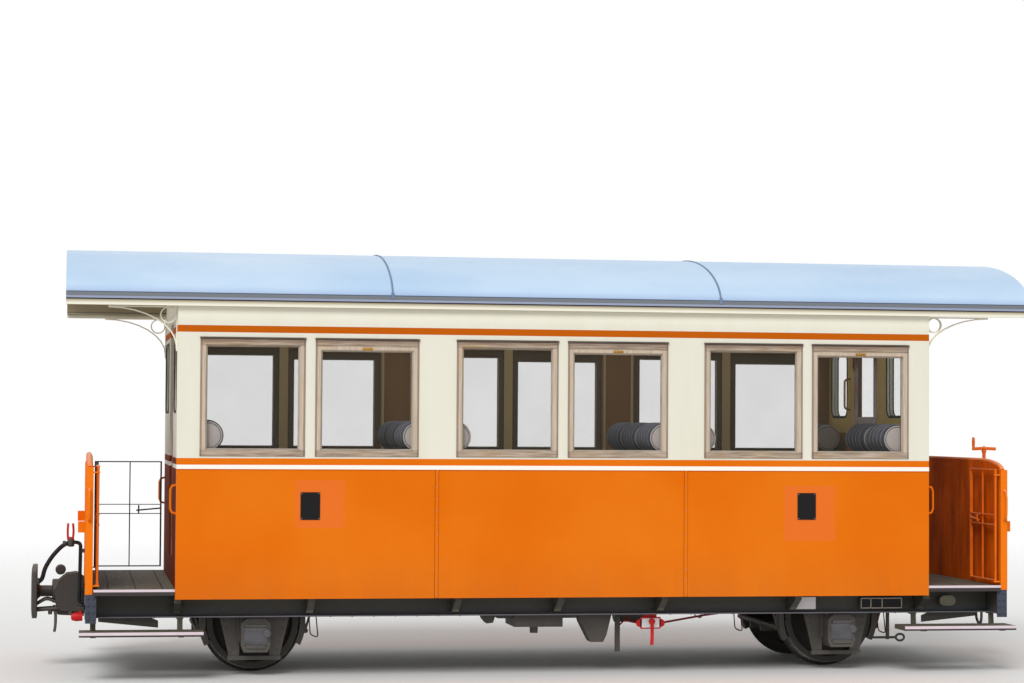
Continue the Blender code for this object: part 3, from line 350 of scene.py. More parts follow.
@dataclass(frozen=True)
class BodyPaint(Finish):
    """Orange skirt, white waist line and cream above with a stripe; wood inside the saloon."""

    wall: Wall

    def dress(self, surface: Surface) -> None:
        """Zones by height outside, panelling inside, faded and slightly wavy sheet."""
        x, y, z = surface.x, surface.y, surface.z
        cloud = surface.noise(0.9, 4)
        streak = surface.noise(2.2, 3, (3.5, 3.5, 0.35))
        orange = surface.mix(((cloud - 0.38) * 3.2).clamped(), ORANGE, ORANGE_FADED)
        orange = surface.mix((1 - z.over(0.80, 0.34)) * streak * 0.45, orange, srgb(178, 96, 40))
        if self.wall is Wall.SIDE:
            patch = sum((x.between(*along, 0.004) * z.between(*height, 0.004)
                         for along, height in REPAINTS), 0.0)
            orange = surface.mix(patch * 0.75, orange, ORANGE_REPAINT)
            seam = (abs(abs(x) - 0.945)).between(0.0122, 0.0150, 0.0006) * (1 - z.over(WAIST, 0.002))
            orange = surface.mix(seam * 0.85, orange, srgb(70, 34, 14))
        else:
            # Painted shade: below the waist the end walls get a dark maroon-brown, the tone their orange
            # shows in shade
            orange = surface.mix(streak, srgb(98, 36, 18), srgb(134, 56, 22))
        cream = surface.mix(((streak - 0.42) * 2.4).clamped() * 0.7, CREAM, CREAM_DULL)
        # Painted light: the cream is paled towards the top of the wall to cancel the shade under the eave
        cream = surface.mix(z.over(RAIL + 2.640, 0.12) * 0.8, cream, srgb(252, 249, 230))
        waist = z.between(WAIST, WAIST + WAIST_BAND)
        upper = z.over(WAIST + 0.079)
        colour = surface.mix(upper, orange, cream)
        colour = surface.mix(z.between(RAIL + 2.510, RAIL + 2.560), colour, STRIPE)
        colour = surface.mix(waist, colour, WHITE)
        grain = surface.noise(9, 4, (1, 1, 0.12))
        wood = surface.mix(grain, srgb(136, 98, 62), srgb(170, 126, 84))
        if self.wall is Wall.SIDE:
            inside = 1 - abs(y).over(WALL_INNER + 0.0015, 0.0005)
            post = (abs(abs(x) - 1.888).between(-0.036, 0.036) + x.between(-0.036, 0.036)).clamped()
            colour = surface.mix(inside, colour, surface.mix(post, wood, srgb(206, 180, 130)))
            alpha: Wire | float = 1.0
        else:
            inside = 1 - abs(x).over(HALF_BODY - WALL + 0.0015, 0.0005)
            ochre = surface.mix(grain * 0.6, srgb(226, 196, 128), srgb(196, 156, 84))
            board = surface.mix(grain, srgb(176, 100, 40), srgb(204, 128, 60))
            colour = surface.mix(inside, colour, surface.mix(z.over(RAIL + 1.80, 0.004), board, ochre))
            scroll = abs(x).over(HALF_BODY + 0.002, 0.0006) * z.over(RAIL + 2.0)
            colour = surface.mix(scroll, colour, srgb(248, 240, 220))
            pane = self.pane(surface)
            colour = surface.mix(pane, colour, GLASS)
            alpha = 1 - pane * GLASS_DEPTH
        waves = surface.noise(1.6, 2, (1, 1, 1.4))
        rough = cloud * 0.16 + (0.30 + inside * 0.15 if self.wall is Wall.SIDE else 0.68)
        surface.finish(base_color=colour, roughness=rough, alpha=alpha,
                       specular_ior_level=MATT,
                       normal=surface.bump(waves + grain * inside * 0.1, 0.006, 0.35))

    def pane(self, surface: Surface) -> Wire:
        """1 on the two panes of an end wall, by the depth and height at which they lie."""
        turned = surface.y * surface.x.math("SIGN", surface.x)
        depth = abs(surface.x).between(HALF_BODY - WALL + 0.0215, HALF_BODY - 0.0265, PANE_EDGE)
        across = turned.between(-1.0905, -0.3745, PANE_EDGE) + turned.between(0.6595, 1.0905, PANE_EDGE)
        return depth * across * surface.z.between(PANE_LOW - 0.0005, PANE_HIGH + 0.0005, PANE_EDGE)


@dataclass(frozen=True)
class RoofSheet(Finish):
    """Pale blue painted sheet, its drip edge, the eave board and the ceiling inside."""

    def dress(self, surface: Surface) -> None:
        """Zones by height, with the underside told by its normal."""
        z = surface.z
        _, _, up = surface.split(surface.normal)
        cloud = surface.noise(0.8, 4, (0.8, 1.5, 1.5))
        fleck = surface.noise(14, 5)
        sheet = surface.mix(((cloud - 0.35) * 2.6).clamped(), srgb(176, 202, 228), srgb(198, 218, 237))
        sheet = surface.mix(((fleck - 0.58) * 4).clamped() * 0.15, sheet, srgb(156, 174, 192))
        sheet = surface.mix((1 - z.over(RAIL + 2.822, 0.05)) * 0.55, sheet, srgb(150, 174, 214))
        strip = surface.mix(z.over(RAIL + 2.762), srgb(150, 158, 182), srgb(112, 118, 124))
        strip = surface.mix(z.over(RAIL + 2.789), strip, srgb(72, 80, 98))
        colour = surface.mix(z.over(RAIL + 2.796), strip, sheet)
        colour = surface.mix(1 - z.over(RAIL + 2.746), colour, srgb(40, 42, 66))
        # Painted shadow: the eave board darkens to olive brown just under the drip strip, where its shade
        # falls
        board = surface.mix(z.over(RAIL + 2.724, 0.030), srgb(240, 236, 218), srgb(150, 138, 104))
        colour = surface.mix(1 - z.over(RAIL + 2.738), colour, board)
        under = 1 - up.over(-0.25, 0.1)
        inside = abs(surface.x).between(-1, HALF_BODY - 0.02) * (1 - abs(surface.y).over(WALL_INNER))
        lining = surface.mix(inside, srgb(150, 138, 110), srgb(92, 78, 62))
        joint = (abs(surface.y.repeat(0.11) - 0.5)).over(0.47, 0.01)
        lining = surface.mix(joint * inside * 0.6, lining, srgb(70, 58, 44))
        colour = surface.mix(under, colour, lining)
        surface.finish(base_color=colour, roughness=0.34 + fleck * 0.22, specular_ior_level=DULL,
                       normal=surface.bump(cloud, 0.010, 0.35))


@dataclass(frozen=True)
class Paint(Finish):
    """Brushed or sprayed paint on small ironwork, with dirt in patches."""

    colour: Colour
    dirt: Colour
    amount: float = 0.5
    rough: float = 0.38
    metal: float = 0.0
    # A paler colour for faces that look up: a painted highlight
    upper: Colour | None = None

    def dress(self, surface: Surface) -> None:
        """The colour, mottled towards the dirt in patches and specks, with a painted highlight where it faces
        up.
        """
        patch = surface.noise(5.5, 5)
        speck = surface.noise(46, 3)
        mask = ((patch - 0.46) * 3.4).clamped() * self.amount + ((speck - 0.62) * 6).clamped() * 0.25
        colour = surface.mix(mask.clamped(), self.colour, self.dirt)
        # Painted highlight: faces that look up are paled towards the upper colour
        if self.upper:
            _, _, up = surface.split(surface.normal)
            colour = surface.mix(up.over(0.55, 0.5) * 0.7, colour, self.upper)
        surface.finish(base_color=colour, roughness=self.rough + patch * 0.2, metallic=self.metal,
                       specular_ior_level=0.5 if self.metal else DULL,
                       normal=surface.bump(speck, 0.0012, 0.25))


@dataclass(frozen=True)
class PanelPaint(Finish):
    """End panels: bright posts and outer face, and a scratched, rust-stained inner face."""

    def dress(self, surface: Surface) -> None:
        """Tone by which way the face looks, with a painted highlight on faces that look up."""
        x, y = surface.x, surface.y
        out, across, up = surface.split(surface.normal)
        inward = (out * x.math("SIGN", x) * -1).over(0.35, 0.3)
        post = abs(y).over(1.140, 0.004)
        cloud = surface.noise(2.2, 5)
        stain = surface.noise(4.5, 6, (1, 1.5, 0.4))
        scratch = surface.noise(34, 5, (1, 0.22, 2.0))
        bright = surface.mix(((cloud - 0.4) * 3).clamped(), srgb(228, 106, 6), srgb(236, 124, 20))
        dark = surface.mix(((stain - 0.36) * 2.6).clamped(), srgb(232, 102, 4), srgb(158, 62, 4))
        dark = surface.mix(((scratch - 0.66) * 8).clamped() * 0.35, dark, srgb(232, 156, 104))
        colour = surface.mix(inward * (1 - post), bright, dark)
        face = (across * y.math("SIGN", y)).over(0.6, 0.2) * post
        colour = surface.mix(face, colour, srgb(238, 120, 16))
        # Painted highlight: faces that look up are paled towards pale orange
        colour = surface.mix(up.over(0.55, 0.5) * 0.7, colour, ORANGE_HIGHLIGHT)
        surface.finish(base_color=colour, roughness=0.36 + cloud * 0.2 + inward * 0.35,
                       specular_ior_level=MATT, normal=surface.bump(stain, 0.003, 0.3))


@dataclass(frozen=True)
class StudioFloor(Finish):
    """A pale floor that thins out with the distance from the coach."""

    start: float = 4.0
    reach: float = 16.0

    def dress(self, surface: Surface) -> None:
        """Even grey-white, its alpha falling from 1 at the start to 0 over the reach."""
        far = (surface.x * surface.x * 0.25 + surface.y * surface.y) ** 0.5
        shown = 1 - ((far - self.start) / self.reach).clamped()
        surface.finish(base_color=(0.80, 0.80, 0.79), roughness=0.8, alpha=shown)


@dataclass(frozen=True)
class Iron(Finish):
    """Black painted ironwork with grey dust on top and brown dust low down."""

    dust: float = 0.5

    def dress(self, surface: Surface) -> None:
        """Soot black, dusted where it faces up, mottled with rust, and greyer on the solebars' webs."""
        _, _, up = surface.split(surface.normal)
        patch = surface.noise(4.5, 6)
        fine = surface.noise(60, 4)
        colour = surface.mix(((patch - 0.5) * 3).clamped() * 0.7, SOOT, srgb(58, 56, 55))
        colour = surface.mix(((fine - 0.56) * 5).clamped() * 0.5, colour, RUST)
        low = 1 - surface.z.over(FRAME_LOW - 0.030, 0.060)
        settled = (up.over(0.35, 0.5) * 0.55 + low * 0.40) * (patch + 0.15)
        colour = surface.mix((settled * self.dust * 2).clamped(), colour, DUST)
        side = abs(surface.y)
        web = surface.z.between(FRAME_LOW + 0.004, FRAME_TOP - 0.004) * side.over(SOLEBAR_OUTER - 0.10, 0.01)
        cool = web * (1 - surface.z.over(FRAME_LOW + 0.050, 0.070))
        colour = surface.mix(web * 0.5, colour, srgb(68, 68, 54))
        colour = surface.mix(cool * 0.6, colour, srgb(76, 80, 88))
        lip = surface.z.between(FRAME_LOW - 0.002, FRAME_LOW + 0.009) * side.over(SOLEBAR_OUTER - 0.003)
        colour = surface.mix(lip * 0.65, colour, srgb(142, 140, 150))
        surface.finish(base_color=colour, roughness=0.46 + patch * 0.3,
                       normal=surface.bump(fine, 0.0016, 0.4))


@dataclass(frozen=True)
class WheelSteel(Finish):
    """Rusty turned steel, bright where the rail polishes the tread."""

    def dress(self, surface: Surface) -> None:
        """Rust brown, and bare metal in a ring at the tread's radius."""
        along = abs(surface.x) - AXLE_X
        up = surface.z - AXLE_Z
        radius = (along * along + up * up) ** 0.5
        tread = radius.between(0.3425, 0.3545, 0.001) * abs(surface.y).between(0.495, 0.600, 0.008)
        patch = surface.noise(7, 6)
        brown = surface.mix(patch, srgb(18, 18, 16), srgb(42, 38, 32))
        ring = abs(surface.y).over(0.590, 0.004) * radius.between(0.30, 0.345, 0.006)
        brown = surface.mix(ring * 0.35, brown, srgb(78, 74, 66))
        surface.finish(base_color=surface.mix(tread, brown, srgb(196, 194, 190)),
                       roughness=0.62 - tread * 0.4 + patch * 0.1, metallic=tread * 0.95,
                       normal=surface.bump(surface.noise(70, 4), 0.0014, 0.5))


class Run(Enum):
    """Which way the boards of a floor run."""

    ACROSS = "across"
    ALONG = "along"


@dataclass(frozen=True)
class Boards(Finish):
    """Weathered floor boards with open joints and a bright metal edge."""

    run: Run
    width: float
    edge: float
    rim_low: float = 0.0

    def dress(self, surface: Surface) -> None:
        """Grain along the boards, a tone for each board, dark joints and the metal edge."""
        across = self.run is Run.ACROSS
        place = surface.x if across else surface.y
        number = (place / self.width).math("FLOOR", place / self.width)
        tone = surface.node("ShaderNodeTexWhiteNoise", {"noise_dimensions": "1D"}, {"W": number})
        tone = Wire(surface.tree, tone.outputs[0])
        grain = surface.noise(16, 6, (3.0, 0.25, 3.0) if across else (0.25, 3.0, 3.0))
        colour = surface.mix(grain, srgb(70, 66, 57), srgb(122, 117, 102))
        colour = surface.mix(tone * 0.4, colour, srgb(92, 82, 64))
        joint = abs(place.repeat(self.width) - 0.5).over(0.472, 0.012)
        colour = surface.mix(joint * 0.9, colour, srgb(28, 24, 20))
        rim = abs(surface.y).over(self.edge, 0.0006)
        wear = surface.noise(22, 4, (0.3, 1, 1))
        rim_colour = surface.mix(wear * 0.5, srgb(232, 218, 226), srgb(190, 166, 172))
        rim_colour = surface.mix(1 - surface.z.over(self.rim_low, 0.004), rim_colour, srgb(66, 60, 60))
        surface.finish(base_color=surface.mix(rim, colour, rim_colour),
                       roughness=0.72 - rim * 0.34, metallic=rim * 0.35, specular_ior_level=DULL,
                       normal=surface.bump((grain * 0.5 + (1 - joint) * 0.5) * (1 - rim), 0.003, 0.6))


@dataclass(frozen=True)
class WindowWood(Finish):
    """Weathered window frame with its pane told by the depth at which it lies."""

    def dress(self, surface: Surface) -> None:
        """Grey-brown grain, ochre where the varnish has gone, and clear glass."""
        x, y, z = surface.x, abs(surface.y), surface.z
        pane = y.between(PANE_OUT - 0.0035, PANE_OUT + 0.0035, PANE_EDGE)
        upright = surface.noise(26, 6, (3.2, 3.2, 0.22))
        level = surface.noise(26, 6, (0.22, 3.2, 3.2))
        rail = (z.over(WINDOW_HIGH - 0.056, 0.002) + 1 - z.over(WINDOW_LOW + 0.050, 0.002)).clamped()
        grain = upright * (1 - rail) + level * rail
        worn = surface.noise(3.1, 4)
        colour = surface.mix(((grain - 0.3) * 1.9).clamped(), srgb(138, 118, 102), srgb(204, 188, 168))
        colour = surface.mix(((worn - 0.54) * 5).clamped() * 0.55, colour, srgb(178, 140, 84))
        colour = surface.mix(z.over(WINDOW_HIGH - 0.010, 0.003) * 0.85, colour, srgb(44, 34, 30))
        colour = surface.mix((1 - rail) * 0.45, colour, srgb(222, 206, 184))
        colour = surface.mix(z.between(WINDOW_HIGH - 0.030, WINDOW_HIGH - 0.012, 0.002) * 0.5, colour,
                             srgb(120, 96, 82))
        half = WINDOW_WIDTH / 2
        border = sum((abs(abs(x) - middle).between(half - 0.0145, half + 0.0165)
                      for middle in WINDOW_MIDDLES[3:]), 0.0)
        colour = surface.mix(border.clamped() * 0.6, colour, srgb(112, 90, 80))
        inner = 1 - y.over(WALL_INNER + 0.012, 0.004)
        colour = surface.mix(inner * 0.9, colour, srgb(92, 66, 46))
        film = surface.noise(2.4, 4)
        colour = surface.mix(pane, colour, GLASS)
        surface.finish(base_color=colour, alpha=1 - pane * (GLASS_DEPTH - film * 0.06),
                       roughness=0.66 - pane * 0.58, specular_ior_level=DULL,
                       normal=surface.bump(grain * (1 - pane), 0.0025, 0.5))


@dataclass(frozen=True)
class DoorWood(Finish):
    """Varnished door with a pane above, told by its depth."""

    def dress(self, surface: Surface) -> None:
        """Upright grain, red-brown, with darker edges of the sunk panels and clear glass."""
        x, z = abs(surface.x), surface.z
        turned = surface.y * surface.x.math("SIGN", surface.x)
        inner = HALF_BODY - WALL
        pane = (x.between(inner + 0.0155, inner + 0.0225, PANE_EDGE) * z.between(PANE_LOW, DOOR_TOP - 0.1195)
                * turned.between(DOOR_OFFSET - 0.2052, DOOR_OFFSET + 0.2052, PANE_EDGE))
        grain = surface.noise(18, 6, (3, 3, 0.2))
        colour = surface.mix(grain, srgb(84, 40, 22), srgb(142, 76, 40))
        groove = abs(turned.repeat(0.082) - 0.5).over(0.47, 0.01) * (1 - z.over(PANE_LOW - 0.15, 0.002))
        colour = surface.mix(groove * 0.7, colour, srgb(40, 18, 10))
        surface.finish(base_color=surface.mix(pane, colour, GLASS), alpha=1 - pane * GLASS_DEPTH,
                       roughness=0.34 - pane * 0.26 + grain * 0.1,
                       normal=surface.bump(grain * (1 - pane), 0.0015, 0.4))


class Pile(Enum):
    """How a cloth is patterned."""

    STRIPED = "striped"
    PLAIN = "plain"


@dataclass(frozen=True)
class Moquette(Finish):
    """Short-pile seat cloth, striped round the bolsters."""

    pile: Pile

    def dress(self, surface: Surface) -> None:
        """A fine ribbed pile with bands of two greys and violet across the coach."""
        rib = abs(surface.y.repeat(0.0036) - 0.5) * 2
        tuft = surface.noise(420, 2)
        worn = surface.noise(7, 4)
        base = surface.mix(((worn - 0.35) * 1.8).clamped(), srgb(74, 74, 94), srgb(102, 98, 116))
        if self.pile is Pile.STRIPED:
            place = surface.y.repeat(0.088)
            dark = place.between(0.00, 0.20, 0.05)
            light = place.between(0.50, 0.66, 0.05)
            base = surface.mix(dark * 0.7, base, srgb(46, 44, 56))
            base = surface.mix(light * 0.55, base, srgb(186, 182, 192))
        else:
            base = surface.mix(worn, srgb(196, 186, 190), srgb(222, 210, 196))
        base = surface.mix(tuft * 0.35, base, srgb(52, 48, 60))
        surface.finish(base_color=base, roughness=0.9, sheen_weight=0.08,
                       normal=surface.bump(rib * 0.4 + tuft * 0.6, 0.0011, 0.6))


@dataclass(frozen=True)
class Joinery(Finish):
    """Plain varnished or painted wood of the saloon's fittings."""

    dark: Colour
    pale: Colour

    def dress(self, surface: Surface) -> None:
        """Upright grain between two tones."""
        grain = surface.noise(20, 6, (3, 3, 0.25))
        surface.finish(base_color=surface.mix(grain, self.dark, self.pale), roughness=0.42 + grain * 0.15,
                       normal=surface.bump(grain, 0.0015, 0.4))


BODY_SIDE = BodyPaint("body.side", Wall.SIDE)
BODY_END = BodyPaint("body.end", Wall.END)
ROOF = RoofSheet("roof.sheet")
# Orange ironwork, with a pale orange painted highlight on faces that look up
ORANGE_IRON = Paint("platform.orange", srgb(226, 104, 10), srgb(176, 70, 8), 0.5, 0.36, upper=ORANGE_HIGHLIGHT)
PANEL = PanelPaint("panel.orange")
CREAM_IRON = Paint("scroll.cream", CREAM, srgb(200, 186, 150), 0.4, 0.4)
RED_IRON = Paint("lever.red", srgb(196, 30, 30), srgb(120, 24, 20), 0.5, 0.4)
RED_RUSTY = Paint("rod.oxide", srgb(104, 30, 28), srgb(60, 24, 22), 0.6, 0.55)
WHITE_PLATE = Paint("plate.white", srgb(222, 222, 224), srgb(170, 168, 166), 0.4, 0.4)
GREY_PLATE = Paint("plate.grey", srgb(134, 130, 112), srgb(98, 94, 80), 0.5, 0.45)
BLACK_PLATE = Paint("plate.black", srgb(8, 8, 9), srgb(22, 21, 20), 0.3, 0.3)
BRACKET_GREY = Paint("bracket.grey", srgb(108, 106, 90), srgb(72, 70, 60), 0.6, 0.55)
POST_GREY = Paint("plate.slate", srgb(66, 70, 82), srgb(34, 34, 38), 0.6, 0.5)
# Axlebox covers, with a pale grey painted highlight on faces that look up
BOX_GREY = Paint("cover.grey", srgb(92, 92, 96), srgb(54, 53, 52), 0.8, 0.42, upper=srgb(150, 148, 150))
# Darker than the roof sheet: painted shade for the shaded side of the raised welts
WELT_SHADED = Paint("roof.welt", srgb(116, 134, 160), srgb(96, 112, 138), 0.5, 0.5)
BRASS = Paint("brass.worn", srgb(186, 142, 70), srgb(110, 80, 40), 0.5, 0.28, 0.9)
STEEL = Paint("steel.dull", srgb(150, 150, 152), srgb(96, 88, 80), 0.6, 0.36, 0.85)
IRON = Iron("iron.dusty")
IRON_CLEAN = Iron("iron.clean", 0.2)
# The far gates' orange ironwork in a dark brown: painted shade
FAR_GATE_SHADED = Paint("gate.dark", srgb(58, 34, 22), srgb(34, 24, 20), 0.6, 0.5)
WHEEL = WheelSteel("wheel.steel")
DECK = Boards("boards.deck", Run.ACROSS, 0.196, 1.2045, DECK_TOP - 0.015)
SALOON_BOARDS = Boards("boards.saloon", Run.ALONG, 0.105, 2.0)
STEP_BOARDS = Boards("boards.step", Run.ALONG, 0.094, 1.2745, RAIL + 0.314)
FRAME_WOOD = WindowWood("window.wood")
DOOR_WOOD = DoorWood("door.wood")
CLOTH = Moquette("cloth.striped", Pile.STRIPED)
CLOTH_PLAIN = Moquette("cloth.plain", Pile.PLAIN)
BENCH_WOOD = Joinery("bench.wood", srgb(96, 56, 30), srgb(146, 92, 52))
PALE_TRIM = Joinery("trim.pale", srgb(190, 164, 122), srgb(216, 192, 150))
RUBBER = Paint("rubber.black", srgb(24, 24, 25), srgb(52, 50, 48), 0.4, 0.6)
PUTTY = Paint("putty.grey", srgb(176, 168, 156), srgb(122, 112, 100), 0.6, 0.6)
FLOOR_PALE = StudioFloor("studio.floor")


# Shapes


@dataclass
class Shape:
    """Points and faces of a piece in the making, as whole arrays."""

    points: Array
    faces: list[Array]

    @staticmethod
    def grid(points: Array, wrap_rows: bool = False, wrap_columns: bool = True, caps: bool = True) -> Shape:
        """Join a grid of points into quads.

        Quad (u, v) takes the points (u, v), (u, v+1), (u+1, v+1) and (u+1, v), with the
        numbers taken round where a direction wraps.

        Args:
            points: Places of the grid, rows by columns by 3.
            wrap_rows: Join the last row to the first.
            wrap_columns: Join the last column to the first.
            caps: Close the first and the last row with one face each.

        Returns:
            The shape.
        """
        rows, columns = points.shape[:2]
        u = np.arange(rows if wrap_rows else rows - 1)[:, None]
        v = np.arange(columns if wrap_columns else columns - 1)[None, :]
        u_next, v_next = (u + 1) % rows, (v + 1) % columns
        corners = (u * columns + v, u * columns + v_next, u_next * columns + v_next, u_next * columns + v)
        faces = [np.stack(np.broadcast_arrays(*corners), axis=-1).reshape(-1, 4)]
        if caps and not wrap_rows:
            faces.append(np.arange(columns)[None, ::-1])
            faces.append(np.arange((rows - 1) * columns, rows * columns)[None, :])
        return Shape(points.reshape(-1, 3).astype(float), faces)

    @staticmethod
    def joined(shapes: Sequence[Shape]) -> Shape:
        """Several shapes as one, each one's point numbers moved up by those before it."""
        starts = np.cumsum([0] + [len(shape.points) for shape in shapes])
        faces = [part + start for shape, start in zip(shapes, starts) for part in shape.faces]
        return Shape(np.concatenate([shape.points for shape in shapes]), faces)

    def scattered(self, places: Array) -> Shape:
        """A copy at each place: every point plus every offset."""
        count = len(self.points)
        points = (self.points[None] + places[:, None]).reshape(-1, 3)
        steps = np.arange(len(places))[:, None, None] * count
        faces = [(part[None] + steps).reshape(-1, part.shape[1]) for part in self.faces]
        return Shape(points, faces)

    def flipped(self, end: int = 1, side: int = 1) -> Shape:
        """The shape at another end or side of the coach: X times end and Y times side."""
        return Shape(self.points * (end, side, 1), self.faces)

    def mesh(self, name: str) -> bpy.types.Mesh:
        """A Blender mesh of these points and faces."""
        made = bpy.data.meshes.new(name)
        made.from_pydata(self.points.tolist(), [], [face for part in self.faces for face in part.tolist()])
        return made


def turned(profile: Array, axis: str, centre: Point, sides: int = 32) -> Shape:
    """A profile turned round an axis.

    A point lies at its place along the axis, and at radius times (cos a, sin a) across it,
    for the angles a that share out a full turn.

    Args:
        profile: Pairs of place along the axis and radius.
        axis: The axis, x, y or z.
        centre: A point on the axis.
        sides: How many angles there are.

    Returns:
        The closed shape.
    """
    pairs = np.asarray(profile, float)
    angle = np.linspace(0, 2 * np.pi, sides, endpoint=False)[None, :]
    along = np.broadcast_to(pairs[:, :1], (len(pairs), sides))
    first, second = pairs[:, 1:] * np.cos(angle), pairs[:, 1:] * np.sin(angle)
    order = {"x": (along, first, second), "y": (second, along, first), "z": (first, second, along)}[axis]
    return Shape.grid(np.stack(order, axis=-1) + np.array(centre))


def ring_turned(profile: Array, axis: str, centre: Point, sides: int = 48) -> Shape:
    """A closed profile turned round an axis into a ring, by the same formula as turned."""
    shape = turned(profile, axis, centre, sides)
    return Shape.grid(shape.points.reshape(len(profile), sides, 3), wrap_rows=True, caps=False)


def prism(outline: Array, axis: str, low: float, high: float) -> Shape:
    """An outline at two places along an axis, joined.

    Args:
        outline: Pairs (y, z), (x, z) or (x, y), the two coordinates that aren't the axis.
        axis: The axis.
        low: The first place.
        high: The second place.

    Returns:
        The closed shape.
    """
    pairs = np.asarray(outline, float)
    level = np.broadcast_to(np.array([low, high])[:, None], (2, len(pairs)))
    first = np.broadcast_to(pairs[:, 0], level.shape)
    second = np.broadcast_to(pairs[:, 1], level.shape)
    order = {"x": (level, first, second), "y": (first, level, second), "z": (first, second, level)}[axis]
    return Shape.grid(np.stack(order, axis=-1))


def block(x: tuple[float, float], y: tuple[float, float], z: tuple[float, float]) -> Shape:
    """A block between pairs of places, whose edges the piece's bevel rounds."""
    return prism(np.array([(x[0], y[0]), (x[1], y[0]), (x[1], y[1]), (x[0], y[1])]), "z", *z)


def set_at(outline: Array, axis: str, level: float) -> Array:
    """An outline's pairs as points at one place along an axis.

    Args:
        outline: Pairs (y, z) for the axis x, or (x, z) for the axis y.
        axis: The axis, x or y.
        level: The place along it.

    Returns:
        The points.
    """
    fixed = np.full(len(outline), level)
    return np.column_stack([fixed, outline] if axis == "x" else [outline[:, 0], fixed, outline[:, 1]])


def pairings(first: Sequence[float], second: Sequence[float]) -> Array:
    """Every pairing of two rows of places, as pairs."""
    return np.stack(np.meshgrid(first, second), axis=-1).reshape(-1, 2)


def smooth_path(corners: Sequence[Point], reach: float, steps: int = 6) -> Array:
    """A path whose corners are rounded.

    Each inner corner is replaced by a quadratic curve from the point at the given reach
    before it to the point at that reach after it: (1-t)^2 a + 2t(1-t) corner + t^2 b.

    Args:
        corners: The path's corners.
        reach: How far from its corner a curve starts, at most half of the run.
        steps: Points on each curve, less one.

    Returns:
        The points of the path.
    """
    points = np.asarray(corners, float)
    middle, before, after = points[1:-1], points[:-2], points[2:]

    def towards(other: Array) -> Array:
        """The point at the reach from each corner towards another."""
        way = other - middle
        length = np.linalg.norm(way, axis=1, keepdims=True)
        return middle + way / length * np.minimum(reach, length * 0.49)

    t = np.linspace(0, 1, steps + 1)[None, :, None]
    a, b = towards(before)[:, None], towards(after)[:, None]
    curve = (1 - t) ** 2 * a + 2 * t * (1 - t) * middle[:, None] + t ** 2 * b
    return np.concatenate([points[:1], curve.reshape(-1, 3), points[-1:]])


def carried(profile: Array, path: Array, closed: bool = False) -> Shape:
    """A closed profile carried along a path.

    At each point of the path the profile's first coordinate lies along the path's normal
    in its own plane, and its second along the plane's normal.

    Args:
        profile: Pairs, the profile's corners.
        path: Points of the path.
        closed: The path's end joins its start.

    Returns:
        The closed shape.
    """
    path = np.asarray(path, float)
    if closed:
        tangent = np.roll(path, -1, axis=0) - np.roll(path, 1, axis=0)
    else:
        tangent = np.gradient(path, axis=0)
    tangent /= np.linalg.norm(tangent, axis=1, keepdims=True)
    level = np.linalg.svd(path - path.mean(axis=0), full_matrices=True)[2][2]
    side = np.cross(level, tangent)
    side /= np.linalg.norm(side, axis=1, keepdims=True)
    pairs = np.asarray(profile, float)
    points = (path[:, None] + side[:, None] * pairs[None, :, :1]
              + np.cross(tangent, side)[:, None] * pairs[None, :, 1:])
    return Shape.grid(points, wrap_rows=closed, caps=not closed)


def circle(radius: float, sides: int = 12) -> Array:
    """A circle's corners: radius times (cos a, sin a)."""
    angle = np.linspace(0, 2 * np.pi, sides, endpoint=False)
    return radius * np.stack([np.cos(angle), np.sin(angle)], axis=-1)


def tube(corners: Sequence[Point], radius: float, bend: float = 0.03, sides: int = 12) -> Shape:
    """A round bar along a path with rounded corners."""
    path = smooth_path(corners, bend) if len(corners) > 2 else np.asarray(corners, float)
    return carried(circle(radius, sides), path)


def rounded(low: tuple[float, float], high: tuple[float, float], radius: float, steps: int = 6) -> Array:
    """A rectangle's outline with round corners: at each, its centre plus radius times (cos a, sin a)."""
    quarter = np.linspace(0, np.pi / 2, steps + 1)
    angles = np.concatenate([quarter + k * np.pi / 2 for k in range(4)])
    x = np.repeat([high[0] - radius, low[0] + radius, low[0] + radius, high[0] - radius], steps + 1)
    y = np.repeat([high[1] - radius, high[1] - radius, low[1] + radius, low[1] + radius], steps + 1)
    return np.stack([x + radius * np.cos(angles), y + radius * np.sin(angles)], axis=-1)


def bolt_head(radius: float, facing: str, way: int = 1) -> Shape:
    """A domed head at the origin: rings that shrink as a quarter circle rises from the face.

    Args:
        radius: The head's radius.
        facing: The axis that it stands along.
        way: 1 or -1 along that axis.

    Returns:
        The head, a few dozen faces.
    """
    rise = np.array([-0.10, 0.25, 0.50, 0.62]) * radius * way
    width = np.array([1.0, 1.0, 0.72, 0.30]) * radius
    return turned(np.stack([rise, width], axis=-1), facing, (0, 0, 0), 8)


def bolt_heads(radius: float, facing: str, way: int, pairs: Array, level: float) -> Shape:
    """Bolt heads on a plane square to an axis.

    Args:
        radius: A head's radius.
        facing: The axis, x or y.
        way: 1 or -1 along that axis.
        pairs: Their places by the other two coordinates.
        level: The plane's place along the axis.

    Returns:
        The heads.
    """
    return bolt_head(radius, facing, way).scattered(set_at(pairs, facing, level))


def linked(name: str, data: bpy.types.ID) -> bpy.types.Object:
    """A new object of the scene, at the origin, for a mesh, a lamp or a camera."""
    made = bpy.data.objects.new(name, data)
    bpy.context.scene.collection.objects.link(made)
    return made


